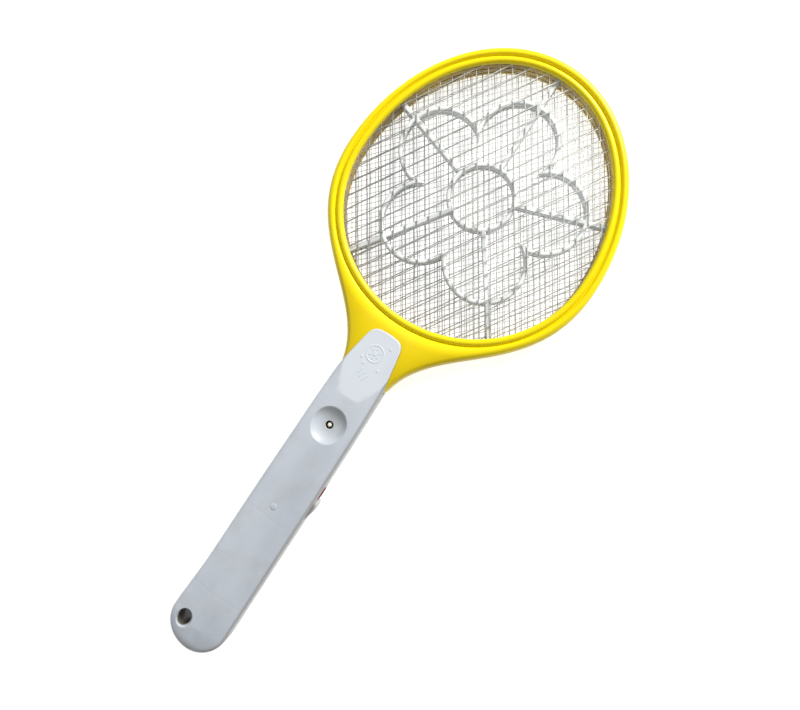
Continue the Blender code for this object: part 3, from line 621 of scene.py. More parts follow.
def rib_section(low, high):
    """(grow, z) round a rib's section, its edges rounded."""
    half = RIB_WIDE / 2
    return [(-half, low + 0.6), (-half + 0.25, low + 0.2), (-half + 0.7, low), (half - 0.7, low),
            (half - 0.25, low + 0.2), (half, low + 0.6), (half, high - 0.8), (half - 0.3, high - 0.3),
            (half - 0.9, high), (-half + 0.9, high), (-half + 0.3, high - 0.3), (-half, high - 0.8)]


for node in ("front_rib_flower", "back_rib_flower"):
    low, high = (v.z * 1000 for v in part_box(node))
    section = rib_section(low, high)
    petals = [[(x, y, z) for x, y in petal_ring(grow)] for grow, z in section]
    flower = closed_loft(node + "_ribs", list(zip(*petals)))
    core = [[(x, y, z) for x, y in ellipse(0, FLOWER_Y, CORE_R + grow, count=72)] for grow, z in section]
    weld(flower, closed_loft("core", list(zip(*core))))
    for angle in SPOKES:
        end = spoke_reach(angle) + 1.0
        weld(flower, flat_bar("spoke", CORE_R + 0.4, end, angle, RIB_WIDE, low + 0.05, high - 0.05, 0.45))
    shade(flower.data, 38)
    wear(flower, RIB_GREY)
    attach(flower, "racket")
    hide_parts(node)


# Nets: galvanised wire welded in two straight layers, cut to the head's egg shape. The outer two are
# coarse; the live one between the flowers is of finer wire at a closer pitch.
def maker_tree(name, result, *sockets):
    """An empty geometry tree with named inputs, given as (name, kind, value), and one result."""
    tree = bpy.data.node_groups.new(name, "GeometryNodeTree")
    for title, kind, value in sockets:
        socket = tree.interface.new_socket(title, in_out="INPUT", socket_type="NodeSocket" + kind)
        if value is not None:
            socket.default_value = value
    tree.interface.new_socket(result, in_out="OUTPUT", socket_type="NodeSocketGeometry")
    return tree, tree.nodes.new("NodeGroupInput"), tree.nodes.new("NodeGroupOutput")


def connect(tree, *links):
    """Links given as (node, output, node, input)."""
    for source, output, target, socket in links:
        tree.links.new(source.outputs[output], target.inputs[socket])


def wire_tree():
    """Geometry nodes: each polyline becomes a round wire, slightly wavy as drawn wire is."""
    tree, entry, leave = maker_tree(
        "drawn_wire", "Net", ("Wires", "Geometry", None), ("Wire Radius", "Float", 0.0003),
        ("Waviness", "Float", 0.0002), ("Seed", "Float", 1.0), ("Finish", "Material", None))
    curve = tree.nodes.new("GeometryNodeMeshToCurve")
    waver = put_node(tree, "ShaderNodeTexNoise", noise_dimensions="4D")
    waver.inputs["Scale"].default_value = 55.0
    waver.inputs["Detail"].default_value = 1.0
    centred = put_node(tree, "ShaderNodeVectorMath", operation="SUBTRACT")
    centred.inputs[1].default_value = (0.5, 0.5, 0.5)
    scaled = put_node(tree, "ShaderNodeVectorMath", operation="SCALE")
    flatten = put_node(tree, "ShaderNodeVectorMath", operation="MULTIPLY")
    flatten.inputs[1].default_value = (1.0, 1.0, 0.25)
    shift = tree.nodes.new("GeometryNodeSetPosition")
    profile = put_node(tree, "GeometryNodeCurvePrimitiveCircle")
    profile.inputs["Resolution"].default_value = 6
    solid_wire = tree.nodes.new("GeometryNodeCurveToMesh")
    solid_wire.inputs["Fill Caps"].default_value = True
    plain = tree.nodes.new("GeometryNodeRealizeInstances")
    finish = tree.nodes.new("GeometryNodeSetMaterial")
    connect(tree, (entry, "Wires", curve, "Mesh"), (entry, "Seed", waver, "W"), (waver, "Color", centred, 0),
            (centred, 0, flatten, 0), (flatten, 0, scaled, 0), (entry, "Waviness", scaled, "Scale"),
            (curve, "Curve", shift, "Geometry"), (scaled, 0, shift, "Offset"),
            (entry, "Wire Radius", profile, "Radius"), (shift, "Geometry", solid_wire, "Curve"),
            (profile, "Curve", solid_wire, "Profile Curve"), (solid_wire, "Mesh", plain, "Geometry"),
            (plain, "Geometry", finish, "Geometry"), (entry, "Finish", finish, "Material"),
            (finish, "Geometry", leave, "Net"))
    return tree


def apply_tree(piece, tree, **inputs):
    """Runs a geometry tree on a piece with its inputs set by socket, and keeps the plain mesh."""
    step = piece.modifiers.new("made", "NODES")
    step.node_group = tree
    for socket in tree.interface.items_tree:
        key = socket.name.lower().replace(" ", "_")
        if socket.in_out == "INPUT" and key in inputs:
            step[socket.identifier] = inputs[key]
    return settle(piece, 45)


def galvanised(name, tone, rough, tarnish):
    """Bright drawn wire with dull, spangled zinc."""
    mat, tree, shader = principled(name)
    spangle = ramp(tree, 0.38, 0.66, noise(tree, 240.0, 3.0, 0.6))
    tint = blend_colour(tree, spangle, tone, tarnish)
    tree.links.new(tint, shader.inputs["Base Color"])
    dull = plus(tree, times(tree, spangle, 0.2), rough)
    tree.links.new(dull, shader.inputs["Roughness"])
    add_relief(tree, noise(tree, 1800.0, 2.0, 0.5), 0.15, 0.00005)
    shader.inputs["Metallic"].default_value = 0.55
    return mat


def along_head(tree, share):
    """A point's Y plus a share of its X."""
    x, y, _ = axes(tree)
    return plus(tree, y, times(tree, x, share))


COARSE_WIRE = galvanised("coarse_net_wire", (0.62, 0.62, 0.59), 0.30, (0.42, 0.41, 0.38))
FINE_WIRE = galvanised("live_net_wire", (0.66, 0.66, 0.64), 0.30, (0.46, 0.45, 0.42))
for finish in (COARSE_WIRE, FINE_WIRE):
    tree = finish.node_tree
    # Painted light: the wires are painted lighter towards the head's tip.
    painted_lit_end = ramp(tree, BUTT_END + 0.375, BUTT_END + 0.455, along_head(tree, 0.5))
    paint_light_and_shade(finish, painted_lit_end, (0.90, 0.90, 0.87), 0.75)
    # Painted shade: the wires are painted darker towards the head's lower left, near the neck.
    painted_shaded_side = ramp(tree, BUTT_END + 0.335, BUTT_END + 0.285, along_head(tree, 0.9))
    paint_light_and_shade(finish, painted_shaded_side, (0.26, 0.26, 0.26), 0.5)
WIRE_TREE = wire_tree()


def weld_meshes(piece, other):
    """Puts another piece's mesh into this one's; the other is used up."""
    both = bmesh.new()
    both.from_mesh(piece.data)
    both.from_mesh(other.data)
    both.to_mesh(piece.data)
    both.free()
    bpy.data.objects.remove(other, do_unlink=True)


def in_head(x, y, extra):
    reach = OPEN_UP if y > HEAD_Y else OPEN_LOW
    return hypot(x / (OPEN_HALF + extra), (y - HEAD_Y) / (reach + extra)) <= 1.0


def net_lines(name, bearings, pitch, middle, radius, start):
    """Polylines of both wire layers, each cut where it leaves the head's outline."""
    verts, edges, centre_y = [], [], HEAD_Y + 12
    for layer, bearing in enumerate(bearings):
        c, s = cos(radians(bearing)), sin(radians(bearing))
        z = middle + (radius if layer else -radius) * 0.92
        for k in range(-40, 41):
            offset = start + k * pitch
            inside = []
            for step in range(-520, 521):
                along = step * 0.25
                x, y = -s * offset + c * along, centre_y + c * offset + s * along
                if in_head(x, y, 2.5):
                    inside.append(along)
            if len(inside) < 12:
                continue
            pieces = max(2, int((inside[-1] - inside[0]) / 5))
            for i in range(pieces + 1):
                along = inside[0] + (inside[-1] - inside[0]) * i / pieces
                verts.append((-s * offset + c * along, centre_y + c * offset + s * along, z))
                if i:
                    edges.append((len(verts) - 2, len(verts) - 1))
    mesh = bpy.data.meshes.new(name)
    mesh.from_pydata([place(v) for v in verts], edges, [])
    return stand(name, mesh)


NETS = (("front_net", (123.7, 57.7), 8.0, 0.36, 1.2, COARSE_WIRE, 0.0012, 3.0, -7.0),
        ("live_net", (123.7, 45.7), 3.3, 0.185, 0.4, FINE_WIRE, 0.0008, 11.0, 0.0),
        ("back_net", (123.7, 57.7), 8.0, 0.36, 4.4, COARSE_WIRE, 0.0012, 7.0, 7.0))
for node, bearings, pitch, radius, start, finish, waviness, seed, tab in NETS:
    low, high = (v.z * 1000 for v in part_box(node))
    net = net_lines(node + "_wires", bearings, pitch, (low + high) / 2, radius, start)
    apply_tree(net, WIRE_TREE, wire_radius=radius / 1000, waviness=waviness, seed=seed, finish=finish)
    solder_tab = block("solder_tab", (tab - 2.0, 251.6, low + 0.1), (tab + 2.0, 260.0, high - 0.1))
    weld_meshes(net, wear(solder_tab, finish))
    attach(net, "racket")
    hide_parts(node)


# Handle front shell: moulded in pale blue-grey styrene, crowned, with a rounded butt. Its tongue lies
# over the flare and slopes to the head; a bowl holds the lamp, an oval hole takes a wall hook.
HANDLE_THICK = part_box("front_handle_shell")[1].z * 1000
HANDLE_END, BUTT_R = 212.0, 20.2
HANG, HANG_RX, HANG_RY = (-11.0, 17.7), 4.4, 5.6
BOWL, BOWL_R = (-0.4, 176.3), 14.0
FACET_Y, FACET_DROP = 199.3, 0.0965
BUTTON_Y, BUTTON_Z = (129.3, 138.7), (9.0, 19.0)
FRONT_PARTING, BACK_PARTING, MOUTH_HALF = 13.65, 13.35, 15.6
HANDLE_SCREWS = [(9.0, 21.0), (-12.0, 112.0), (12.0, 112.0)]
BAY_RIBS = (42.4, 104.4)


def half_width(y):
    """Half the handle's width along its length; the tongue's loft keeps the last width."""
    steps = [(BUTT_R, 20.2), (80, 19.85), (120, 19.65), (150, 19.15), (185, 18.7), (200, 18.2), (220, 17.3)]
    for (ya, wa), (yb, wb) in zip(steps, steps[1:]):
        if y <= yb:
            return wa + (wb - wa) * max(y - ya, 0.0) / (yb - ya)
    return steps[-1][1]


def hook_side(y):
    """The grip's left side swells a little round the hook hole."""
    t = min(max((62.0 - y) / 44.0, 0.0), 1.0)
    return 0.085 * t * t * (3 - 2 * t)


def grip_loft(name, levels, end, arc=40, butt=1.0):
    """A solid of the handle's plan: each level is (inset, z), the last lies on the spine. The rounding
    is wider by the butt factor at the end of the grip."""
    stations = [BUTT_R] + [BUTT_R + (end - BUTT_R) * i / 24 for i in range(1, 25)]
    loop = [(half_width(y), y, y, 1.0) for y in reversed(stations[1:])]
    for i in range(arc + 1):
        a = -pi * i / arc
        loop.append((BUTT_R * cos(a), BUTT_R + BUTT_R * sin(a), BUTT_R, 1.0 + (butt - 1.0) * sin(a) ** 2))
    loop += [(-half_width(y), y, y, 1.0) for y in stations[1:]]
    loop = [(x * (1.0 + hook_side(y)) if x < 0 else x, y, cy, wider) for x, y, cy, wider in loop]
    verts = []
    for inset, z in levels[:-1]:
        for x, y, cy, wider in loop:
            reach = hypot(x, y - cy)
            spread = 1.0 + (wider - 1.0) * max(1.0 - inset / 17.0, 0.0)
            t = (reach - inset * spread) / reach
            verts.append((x * t, cy + (y - cy) * t, z))
    spine = {}
    for y in stations:
        spine[y] = len(verts)
        verts.append((0.0, y, levels[-1][1]))
    count, floors = len(loop), len(levels) - 1
    faces = [tuple(range(count))]
    for level in range(floors - 1):
        for i in range(count - 1):
            low = level * count + i
            faces.append((low, low + 1, low + count + 1, low + count))
    top = (floors - 1) * count
    for i in range(count - 1):
        a, b = spine[loop[i][2]], spine[loop[i + 1][2]]
        faces.append((top + i, top + i + 1, b, a) if a != b else (top + i, top + i + 1, b))
    first = [level * count for level in range(floors)]
    last = [level * count + count - 1 for level in range(floors)]
    faces.append(tuple(first + [spine[stations[-1]]] + last[::-1]))
    return make_piece(name, verts, faces)


def smooth_outline(points, steps=6):
    """A Catmull-Rom curve through the points of an open line."""
    out = []
    ends = [points[0]] + points + [points[-1]]
    for a, b, c, d in zip(ends, ends[1:], ends[2:], ends[3:]):
        for i in range(steps):
            t = i / steps
            out.append(tuple(0.5 * (2 * q + (r - p) * t + (2 * p - 5 * q + 4 * r - s) * t * t
                                    + (3 * q - p - 3 * r + s) * t ** 3) for p, q, r, s in zip(a, b, c, d)))
    return out + [points[-1]]


def tongue_ring():
    half = [(17.2, 204.0), (17.35, 211.9), (15.3, 225.0), (14.2, 231.6), (13.0, 238.2), (12.3, 241.6),
            (10.9, 244.4), (8.6, 246.3), (5.0, 247.2), (0.0, 247.5)]
    right = smooth_outline(half)
    return right + [(-x, y) for x, y in reversed(right[:-1])]


def tongue_plan():
    """The tongue's outline as a prism whose upper edge is rounded along the slope."""
    outline = tongue_ring()
    rings = [[(x, y, 18.0) for x, y in outline]]
    for inset, rise in ((0.0, -0.65), (0.12, -0.3), (0.4, -0.06), (0.75, 0.05), (0.75, 5.0)):
        rings.append([(x * (1 - inset / 14), 226 + (y - 226) * (1 - inset / 21), facet_height(y) + rise)
                      for x, y in outline])
    return capped_loft("tongue_plan", rings)


def thumb_stop(low, high):
    """The ramp beside the button."""
    w = half_width(121) - 1.0
    bulge = ((0.0, 112.0), (1.1, 114.5), (2.2, 118.5), (2.8, 123.0), (2.7, 126.0), (1.9, 127.5), (0.0, 128.0))
    line = smooth_outline([(w + out, y) for out, y in bulge], 4)
    levels = ((low, 0.0), (high - 2.4, 0.0), (high - 1.0, 0.35), (high - 0.3, 0.9), (high, 1.7))
    return capped_loft("stop", [[(x - d, y, z) for x, y in line] for z, d in levels])


def cut_button_window(piece):
    (y0, y1), (z0, z1), gap = BUTTON_Y, BUTTON_Z, 0.3
    cut(piece, block("window", (15.0, y0 - gap, z0 - gap), (26.0, y1 + gap, z1 + gap)))


def cut_hook_hole(piece, levels):
    """Cuts the wall hook's oval, grown as each (grow, z) level says."""
    rings = [[(x, y, z) for x, y in ellipse(*HANG, HANG_RX + grow, HANG_RY + grow)] for grow, z in levels]
    cut(piece, capped_loft("hook_hole", rings))


def facet_height(y):
    """How high the tongue's slope is at a distance from the butt."""
    return HANDLE_THICK - (y - FACET_Y) * FACET_DROP


def front_handle():
    parting = FRONT_PARTING
    crown = [(0.0, 21.0), (0.06, 22.0), (0.26, 22.9), (0.65, 23.75), (1.2, 24.4), (1.9, 24.9), (2.8, 25.3),
             (4.2, 25.7), (6.4, 26.14), (8.4, 26.43), (10.4, 26.66), (12.4, 26.83), (14.2, 26.93),
             (15.8, 26.98), (17.0, 26.995), (0.0, HANDLE_THICK)]
    piece = grip_loft("front_handle", [(0.0, parting - 1.5)] + crown, HANDLE_END, butt=1.9)
    inner = [(2.0, parting - 4), (2.0, 19.6), (2.8, 21.8), (4.6, 23.4), (8.5, 24.3), (0.0, 24.8)]
    cavity = grip_loft("cavity", inner, 203.0, 20)
    weld(cavity, block("mouth", (-MOUTH_HALF, 202.0, parting - 3), (MOUTH_HALF, 214.0, 19.2)))
    cut(piece, cavity)
    weld(piece, turned_part("bowl_floor", *BOWL, [(13.6, 21.4), (13.6, 25.0)], 40))
    tongue = grip_loft("tongue", [(0.0, 19.3)] + crown, 250.0)
    shape(tongue, tongue_plan(), "INTERSECT")
    weld(piece, tongue)
    ramp_line = [(-30, FACET_Y), (-30, 260.0), (30, 260.0), (30, FACET_Y)]
    slope = [(x, y, facet_height(y)) for x, y in ramp_line]
    cut(piece, capped_loft("facet", [slope, [(x, y, 40.0) for x, y in ramp_line]]))
    weld(piece, thumb_stop(parting - 0.5, 22.4))
    cut_button_window(piece)
    weld(piece, upright("hook_tube", ellipse(*HANG, HANG_RX + 1.7, HANG_RY + 1.7), (parting - 0.8, 25.0)))
    cut_hook_hole(piece, ((-0.3, 22.6), (0.05, 23.8), (0.35, 24.9), (0.75, 25.8), (1.4, 26.6), (2.4, 27.4),
                          (3.2, 27.9)))
    bowl = [(2.75, 20.0), (2.75, 23.25), (2.95, 23.45), (4.2, 23.52), (6.2, 23.82), (8.1, 24.36), (9.6, 25.0),
            (10.9, 25.75), (11.8, 26.35), (12.5, 26.75), (13.2, 27.05), (BOWL_R, 27.3), (BOWL_R, 29.0)]
    cut(piece, turned_part("bowl", *BOWL, bowl, 72))
    for y in BAY_RIBS:
        weld(piece, block("bay_rib", (-13.6, y - 0.6, parting - 0.6), (13.6, y + 0.6, 24.3)))
    for x, y in HANDLE_SCREWS:
        weld(piece, upright("boss", ellipse(x, y, 3.1, count=32), (parting - 0.7, 24.0)))
    cut(piece, block("trim", (-60, -20, -20), (60, 300, parting)))
    cut(piece, upright("hook_hole", ellipse(*HANG, HANG_RX, HANG_RY), (0.0, 40.0)))
    for x, y in HANDLE_SCREWS:
        cut(piece, upright("pilot", ellipse(x, y, 1.5, count=24), (10.0, 20.5)))
    for x, y in NECK_SCREWS:
        cut(piece, upright("pilot", ellipse(x, y, 1.5, count=24), (15.0, 24.0)))
    return piece


def relief_ring(x, y, radius, wide, rise, count=64):
    """A low raised ring on the tongue's slope."""
    half, quarter = wide / 2, wide / 4
    section = [(-half, -0.4), (-half, 0.4 * rise), (-quarter, rise), (quarter, rise), (half, 0.4 * rise),
               (half, -0.4)]
    stations = []
    for i in range(count):
        a = 2 * pi * i / count
        station = []
        for grow, z in section:
            px, py = x + (radius + grow) * cos(a), y + (radius + grow) * sin(a)
            station.append((px, py, facet_height(py) + z))
        stations.append(station)
    return closed_loft("ring", stations)


def relief_shape(outline, rise):
    """A low raised figure on the tongue's slope."""
    cx = sum(p[0] for p in outline) / len(outline)
    cy = sum(p[1] for p in outline) / len(outline)
    rings = []
    for shrink, z in ((1.0, -0.4), (1.0, 0.5 * rise), (0.86, rise)):
        flat = [(cx + (x - cx) * shrink, cy + (y - cy) * shrink) for x, y in outline]
        rings.append([(x, y, facet_height(y) + z) for x, y in flat])
    return capped_loft("figure", rings)


HANDLE_GREY = plastic("handle_styrene", (0.51, 0.545, 0.59), (0.415, 0.445, 0.49), (0.34, 0.33, 0.31), 0.34,
                      mottle=0.8, smudge=0.2, dust=0.3, grain=650.0, bump=0.03, coat=0.08)


def away_from(tree, value, middle):
    """The distance of a value from a middle, either way."""
    return shader_math(tree, "ABSOLUTE", shader_math(tree, "SUBTRACT", value, middle))


def add_sink_marks(mat):
    """Faint lines and rings where ribs and bosses behind the face drew it in as it cooled."""
    tree = mat.node_tree
    x, y, _ = axes(tree)
    total = None
    for rib in BAY_RIBS:
        line = ramp(tree, 0.0016, 0.0002, away_from(tree, y, BUTT_END + rib / 1000))
        total = line if total is None else plus(tree, total, line)
    for boss_x, boss_y in ((12.0, 112.0), (-12.0, 112.0), (9.0, 21.0), (12.2, 124.0)):
        spot = put_node(tree, "ShaderNodeVectorMath", operation="DISTANCE")
        flat = put_node(tree, "ShaderNodeCombineXYZ")
        tree.links.new(x, flat.inputs["X"])
        tree.links.new(y, flat.inputs["Y"])
        tree.links.new(flat.outputs[0], spot.inputs[0])
        spot.inputs[1].default_value = (boss_x / 1000, BUTT_END + boss_y / 1000, 0.0)
        ring = ramp(tree, 0.0011, 0.0, away_from(tree, spot.outputs["Value"], 0.0026))
        total = plus(tree, total, times(tree, ring, 0.7))
    add_relief(tree, total, 0.3, 0.0001).invert = True


def paint_handle_light_and_shade(mat):
    """Painted light and shade on the handle: the slope is painted paler, a painted highlight; painted shade
    darkens the side walls, a band along the button side's upper edge, the butt's end and the bowl's head-side
    wall; the hook hole is painted dark inside as painted shade."""
    tree = mat.node_tree
    x, y, z = axes(tree)
    # Painted highlight: the tongue's slope is painted paler, as where light from the head side falls on it.
    drop = shader_math(tree, "SUBTRACT", y, BUTT_END + FACET_Y / 1000)
    drop = times(tree, drop, FACET_DROP)
    off_slope = away_from(tree, plus(tree, z, drop), HANDLE_THICK / 1000)
    beyond = shader_math(tree, "GREATER_THAN", y, BUTT_END + FACET_Y / 1000 - 0.001)
    slope = times(tree, ramp(tree, 0.00045, 0.0002, off_slope), beyond)
    # Painted shade: the side walls are painted dark brown.
    painted_side_shade = times(tree, ramp(tree, 0.0245, 0.0215, z), ramp(tree, 0.0015, 0.0060, z))
    paint_light_and_shade(mat, painted_side_shade, (0.21, 0.19, 0.16), 0.6)
    # Painted shade: a darker band along the upper edge of the button side.
    shoulder = times(tree, ramp(tree, 0.0253, 0.0244, z), ramp(tree, 0.0130, 0.0200, z))
    painted_button_side_shade = times(tree, shoulder, ramp(tree, 0.006, 0.012, x))
    paint_light_and_shade(mat, painted_button_side_shade, (0.13, 0.115, 0.09), 0.5)
    # Painted shade: the butt's rounded end is painted darker.
    painted_butt_shade = times(tree, ramp(tree, BUTT_END + 0.0085, BUTT_END + 0.001, y), ramp(tree, 0.0150, 0.0220, z))
    paint_light_and_shade(mat, painted_butt_shade, (0.25, 0.23, 0.17), 0.5)
    paint_light_and_shade(mat, slope, (0.55, 0.585, 0.63), 0.9)
    # Painted shade: the hook hole is painted almost black inside.
    hole = ramp(tree, 1.06, 1.01, oval_reach(tree, HANG, HANG_RX, HANG_RY))
    paint_light_and_shade(mat, hole, (0.07, 0.058, 0.03), 0.9)
    # Painted shade: the bowl's wall on the head side is painted darker.
    bowl = ramp(tree, 0.98, 0.80, oval_reach(tree, BOWL, BOWL_R, BOWL_R))
    painted_far_wall_shade = ramp(tree, 0.0, 0.010, shader_math(tree, "SUBTRACT", y, BUTT_END + BOWL[1] / 1000))
    paint_light_and_shade(mat, times(tree, bowl, painted_far_wall_shade), (0.30, 0.285, 0.24), 0.5)


add_sink_marks(HANDLE_GREY)
paint_handle_light_and_shade(HANDLE_GREY)
front_shell = front_handle()
ring_x, ring_y = (-0.7, 231.5)
weld(front_shell, relief_ring(ring_x, ring_y, 5.7, 0.9, 0.2))
weld(front_shell, relief_shape(ellipse(ring_x, ring_y, 1.5, count=24), 0.22))
for i in range(6):
    a = radians(30 + 60 * i)
    leaf = [(ring_x + cos(a) * u - sin(a) * v, ring_y + sin(a) * u + cos(a) * v)
            for u, v in ((2.2, 0.0), (3.1, -0.55), (4.4, 0.0), (3.1, 0.55))]
    weld(front_shell, relief_shape(leaf, 0.18))
for x, y in ((-7.2, 225.6), (-3.9, 222.6), (6.9, 223.0), (6.4, 239.4)):
    weld(front_shell, relief_shape(ellipse(x, y, 0.9, count=20), 0.2))
for step in range(3):
    x, y = -3.0 + 2.6 * step, 217.6 - 1.4 * step
    stroke = [(x - 1.2, y - 2.2), (x - 0.2, y - 2.4), (x + 1.2, y + 2.2), (x + 0.2, y + 2.4)]
    weld(front_shell, relief_shape(stroke, 0.2))
gate_mark = [(2.2, 26.0), (2.2, 27.08), (1.9, 27.25), (1.1, 27.3)]
weld(front_shell, turned_part("gate_mark", -1.0, 112.3, gate_mark, 32))
wear(break_edges(front_shell, 0.28), HANDLE_GREY)
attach(front_shell, "racket")
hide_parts("front_handle_shell")


# Handle back shell: the half that lies on the table. Its floor is cut open for the two cells, and it
# carries the screw bosses, the board's posts and the lower half of the thumb stop.
BAY_HALF, BAY_LOW, BAY_HIGH = 13.0, 40.0, 107.0


def back_handle():
    top = BACK_PARTING
    levels = [(0.0, top + 1.5), (0.0, 8.0), (0.1, 6.4), (0.35, 4.8), (0.95, 3.2), (1.8, 2.0), (3.0, 1.0),
              (4.4, 0.4), (6.5, 0.0), (0.0, 0.0)]
    piece = grip_loft("back_handle", levels, HANDLE_END)
    inner = [(2.0, top + 4), (2.0, 6.8), (2.8, 4.6), (4.4, 2.9), (6.8, 2.0), (0.0, 2.0)]
    cavity = grip_loft("cavity", inner, 209.0, 20)
    weld(cavity, block("mouth", (-MOUTH_HALF, 197.0, 4.1), (MOUTH_HALF, 214.0, top + 3)))
    cut(piece, cavity)
    weld(piece, thumb_stop(5.0, top + 3.4))
    cut_button_window(piece)
    weld(piece, upright("hook_tube", ellipse(*HANG, HANG_RX + 1.7, HANG_RY + 1.7), (1.0, top + 0.8)))
    cut_hook_hole(piece, ((1.4, -0.6), (0.5, 0.2), (0.12, 0.7), (0.0, 1.4), (0.0, 20.0)))
    cut(piece, block("bay", (-BAY_HALF, BAY_LOW, -2.0), (BAY_HALF, BAY_HIGH, 5.0)))
    for x, y in HANDLE_SCREWS:
        weld(piece, upright("boss", ellipse(x, y, 3.4, count=32), (0.8, top + 0.7)))
        cut(piece, upright("hole", ellipse(x, y, 1.6, count=24), (-1.0, 20.0)))
        cut(piece, turned_part("recess", x, y, [(3.2, -0.4), (2.8, 0.3), (2.8, 4.6)], 32))
    for x, y in NECK_SCREWS:
        weld(piece, upright("pad", ellipse(x, y, 3.4, count=32), (0.8, 4.1)))
        cut(piece, upright("hole", ellipse(x, y, 1.6, count=24), (-1.0, 10.0)))
        cut(piece, turned_part("recess", x, y, [(3.2, -0.4), (2.8, 0.3), (2.8, 2.3)], 32))
    for x in (-10.4, 10.4):
        for y in (145.0, 186.0):
            weld(piece, upright("post", ellipse(x, y, 1.8, count=20), (1.2, 10.7)))
    cut(piece, block("trim", (-60, -20, top), (60, 300, 50)))
    return piece


back_half = wear(break_edges(back_handle(), 0.22), HANDLE_GREY)
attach(back_half, "racket")
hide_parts("back_handle_shell")


# Battery door: a flat grey cover that swings on two hooks at its upper end and snaps in with a small
# latch at the other. Three finger grooves and a plain sunk arrow say where to push.
DOOR_GREY = plastic("door_styrene", (0.49, 0.525, 0.57), (0.43, 0.465, 0.51), (0.34, 0.33, 0.31), 0.42,
                    mottle=0.8, smudge=0.3, dust=0.4, grain=520.0, bump=0.05)
door_low, door_high = ([c * 1000 for c in corner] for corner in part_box("battery_door"))
door_start = (door_low[1] - BUTT_END * 1000, door_high[1] - BUTT_END * 1000 - 1.9)
cover = block("door_cover", (door_low[0], door_start[0], 0.0), (door_high[0], door_start[1], 2.0))
for i in range(3):
    y = door_start[0] + 5.7 + 2.2 * i
    groove = [(-6.4, y), (-5.9, y - 0.5), (5.9, y - 0.5), (6.4, y), (6.4, y + 0.5), (5.9, y + 1.0),
              (-5.9, y + 1.0), (-6.4, y + 0.5)]
    cut(cover, upright("groove", groove, (-1.0, 0.5)))
for x in (-8.0, 8.0):
    weld(cover, block("hook", (x - 2, door_start[1] - 3.0, 1.0), (x + 2, door_start[1] - 0.6, 3.6)))
    weld(cover, block("hook", (x - 2, door_start[1] - 2.8, 2.4), (x + 2, door_start[1] + 1.9, 3.4)))
weld(cover, block("latch", (-4.0, door_start[0] + 0.6, 1.0), (4.0, door_start[0] + 1.8, 4.2)))
arrow = [(0.0, 56.0), (3.0, 60.5), (1.1, 60.5), (1.1, 66.0), (-1.1, 66.0), (-1.1, 60.5), (-3.0, 60.5)]
cut(cover, upright("arrow", arrow, (-1.0, 0.3)))
wear(break_edges(cover, 0.2), DOOR_GREY)
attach(cover, "battery_door")
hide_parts("battery_door")


# Screws: zinc-plated pan-head self-tapping screws with a cross slot, all driven from the back. Each
# group is one screw shape set on points, every head turned as the driver left it.
def plated(name, tone, tarnish, rough):
    """Plated metal: a brushed tone, thin tarnish and small pits."""
    mat, tree, shader = principled(name)
    film = ramp(tree, 0.42, 0.70, noise(tree, 320.0, 4.0, 0.6))
    tree.links.new(blend_colour(tree, film, tone, tarnish), shader.inputs["Base Color"])
    dull = plus(tree, times(tree, film, 0.25), rough)
    tree.links.new(dull, shader.inputs["Roughness"])
    add_relief(tree, noise(tree, 2600.0, 2.0, 0.5, (1.0, 0.2, 1.0)), 0.2, 0.00004)
    shader.inputs["Metallic"].default_value = 0.9
    return mat


ZINC = plated("zinc_screw_steel", (0.55, 0.55, 0.54), (0.30, 0.27, 0.22), 0.28)


def pan_screw(name, head, seat, tip, head_r, shank_r):
    """One screw standing on its head at x 0, y 0, with a cross slot underneath and a thread above."""
    rings = [(head_r * 0.55, head), (head_r * 0.84, head + 0.15), (head_r, head + 0.5), (head_r, seat)]
    z, wide = seat, True
    while z < tip - 1.4:
        rings += [(shank_r if wide else shank_r * 0.82, z)]
        z += 0.45
        wide = not wide
    rings += [(shank_r * 0.7, tip - 0.9), (0.15, tip)]
    middle = -BUTT_END * 1000
    body = turned_part(name, 0.0, middle, rings, 28)
    for x, y in ((head_r * 0.62, 0.28), (0.28, head_r * 0.62)):
        cut(body, block("slot", (-x, middle - y, head - 1), (x, middle + y, head + 0.75)))
    return body


def screw_tree():
    """Geometry nodes: one screw on every point, each turned by its own seeded angle."""
    tree, entry, leave = maker_tree(
        "driven_screws", "Screws", ("Holes", "Geometry", None), ("Screw", "Object", None),
        ("Finish", "Material", None), ("Seed", "Int", 1))
    screw = put_node(tree, "GeometryNodeObjectInfo", transform_space="ORIGINAL")
    turn = put_node(tree, "FunctionNodeRandomValue", data_type="FLOAT_VECTOR")
    turn.inputs[0].default_value = (0.0, 0.0, 0.0)
    turn.inputs[1].default_value = (0.0, 0.0, 1.5)
    spread = tree.nodes.new("GeometryNodeInstanceOnPoints")
    plain = tree.nodes.new("GeometryNodeRealizeInstances")
    finish = tree.nodes.new("GeometryNodeSetMaterial")
    connect(tree, (entry, "Screw", screw, "Object"), (entry, "Seed", turn, "Seed"),
            (entry, "Holes", spread, "Points"), (screw, "Geometry", spread, "Instance"),
            (turn, 0, spread, "Rotation"), (spread, "Instances", plain, "Geometry"),
            (plain, "Geometry", finish, "Geometry"), (entry, "Finish", finish, "Material"),
            (finish, "Geometry", leave, "Screws"))
    return tree


SCREW_TREE = screw_tree()
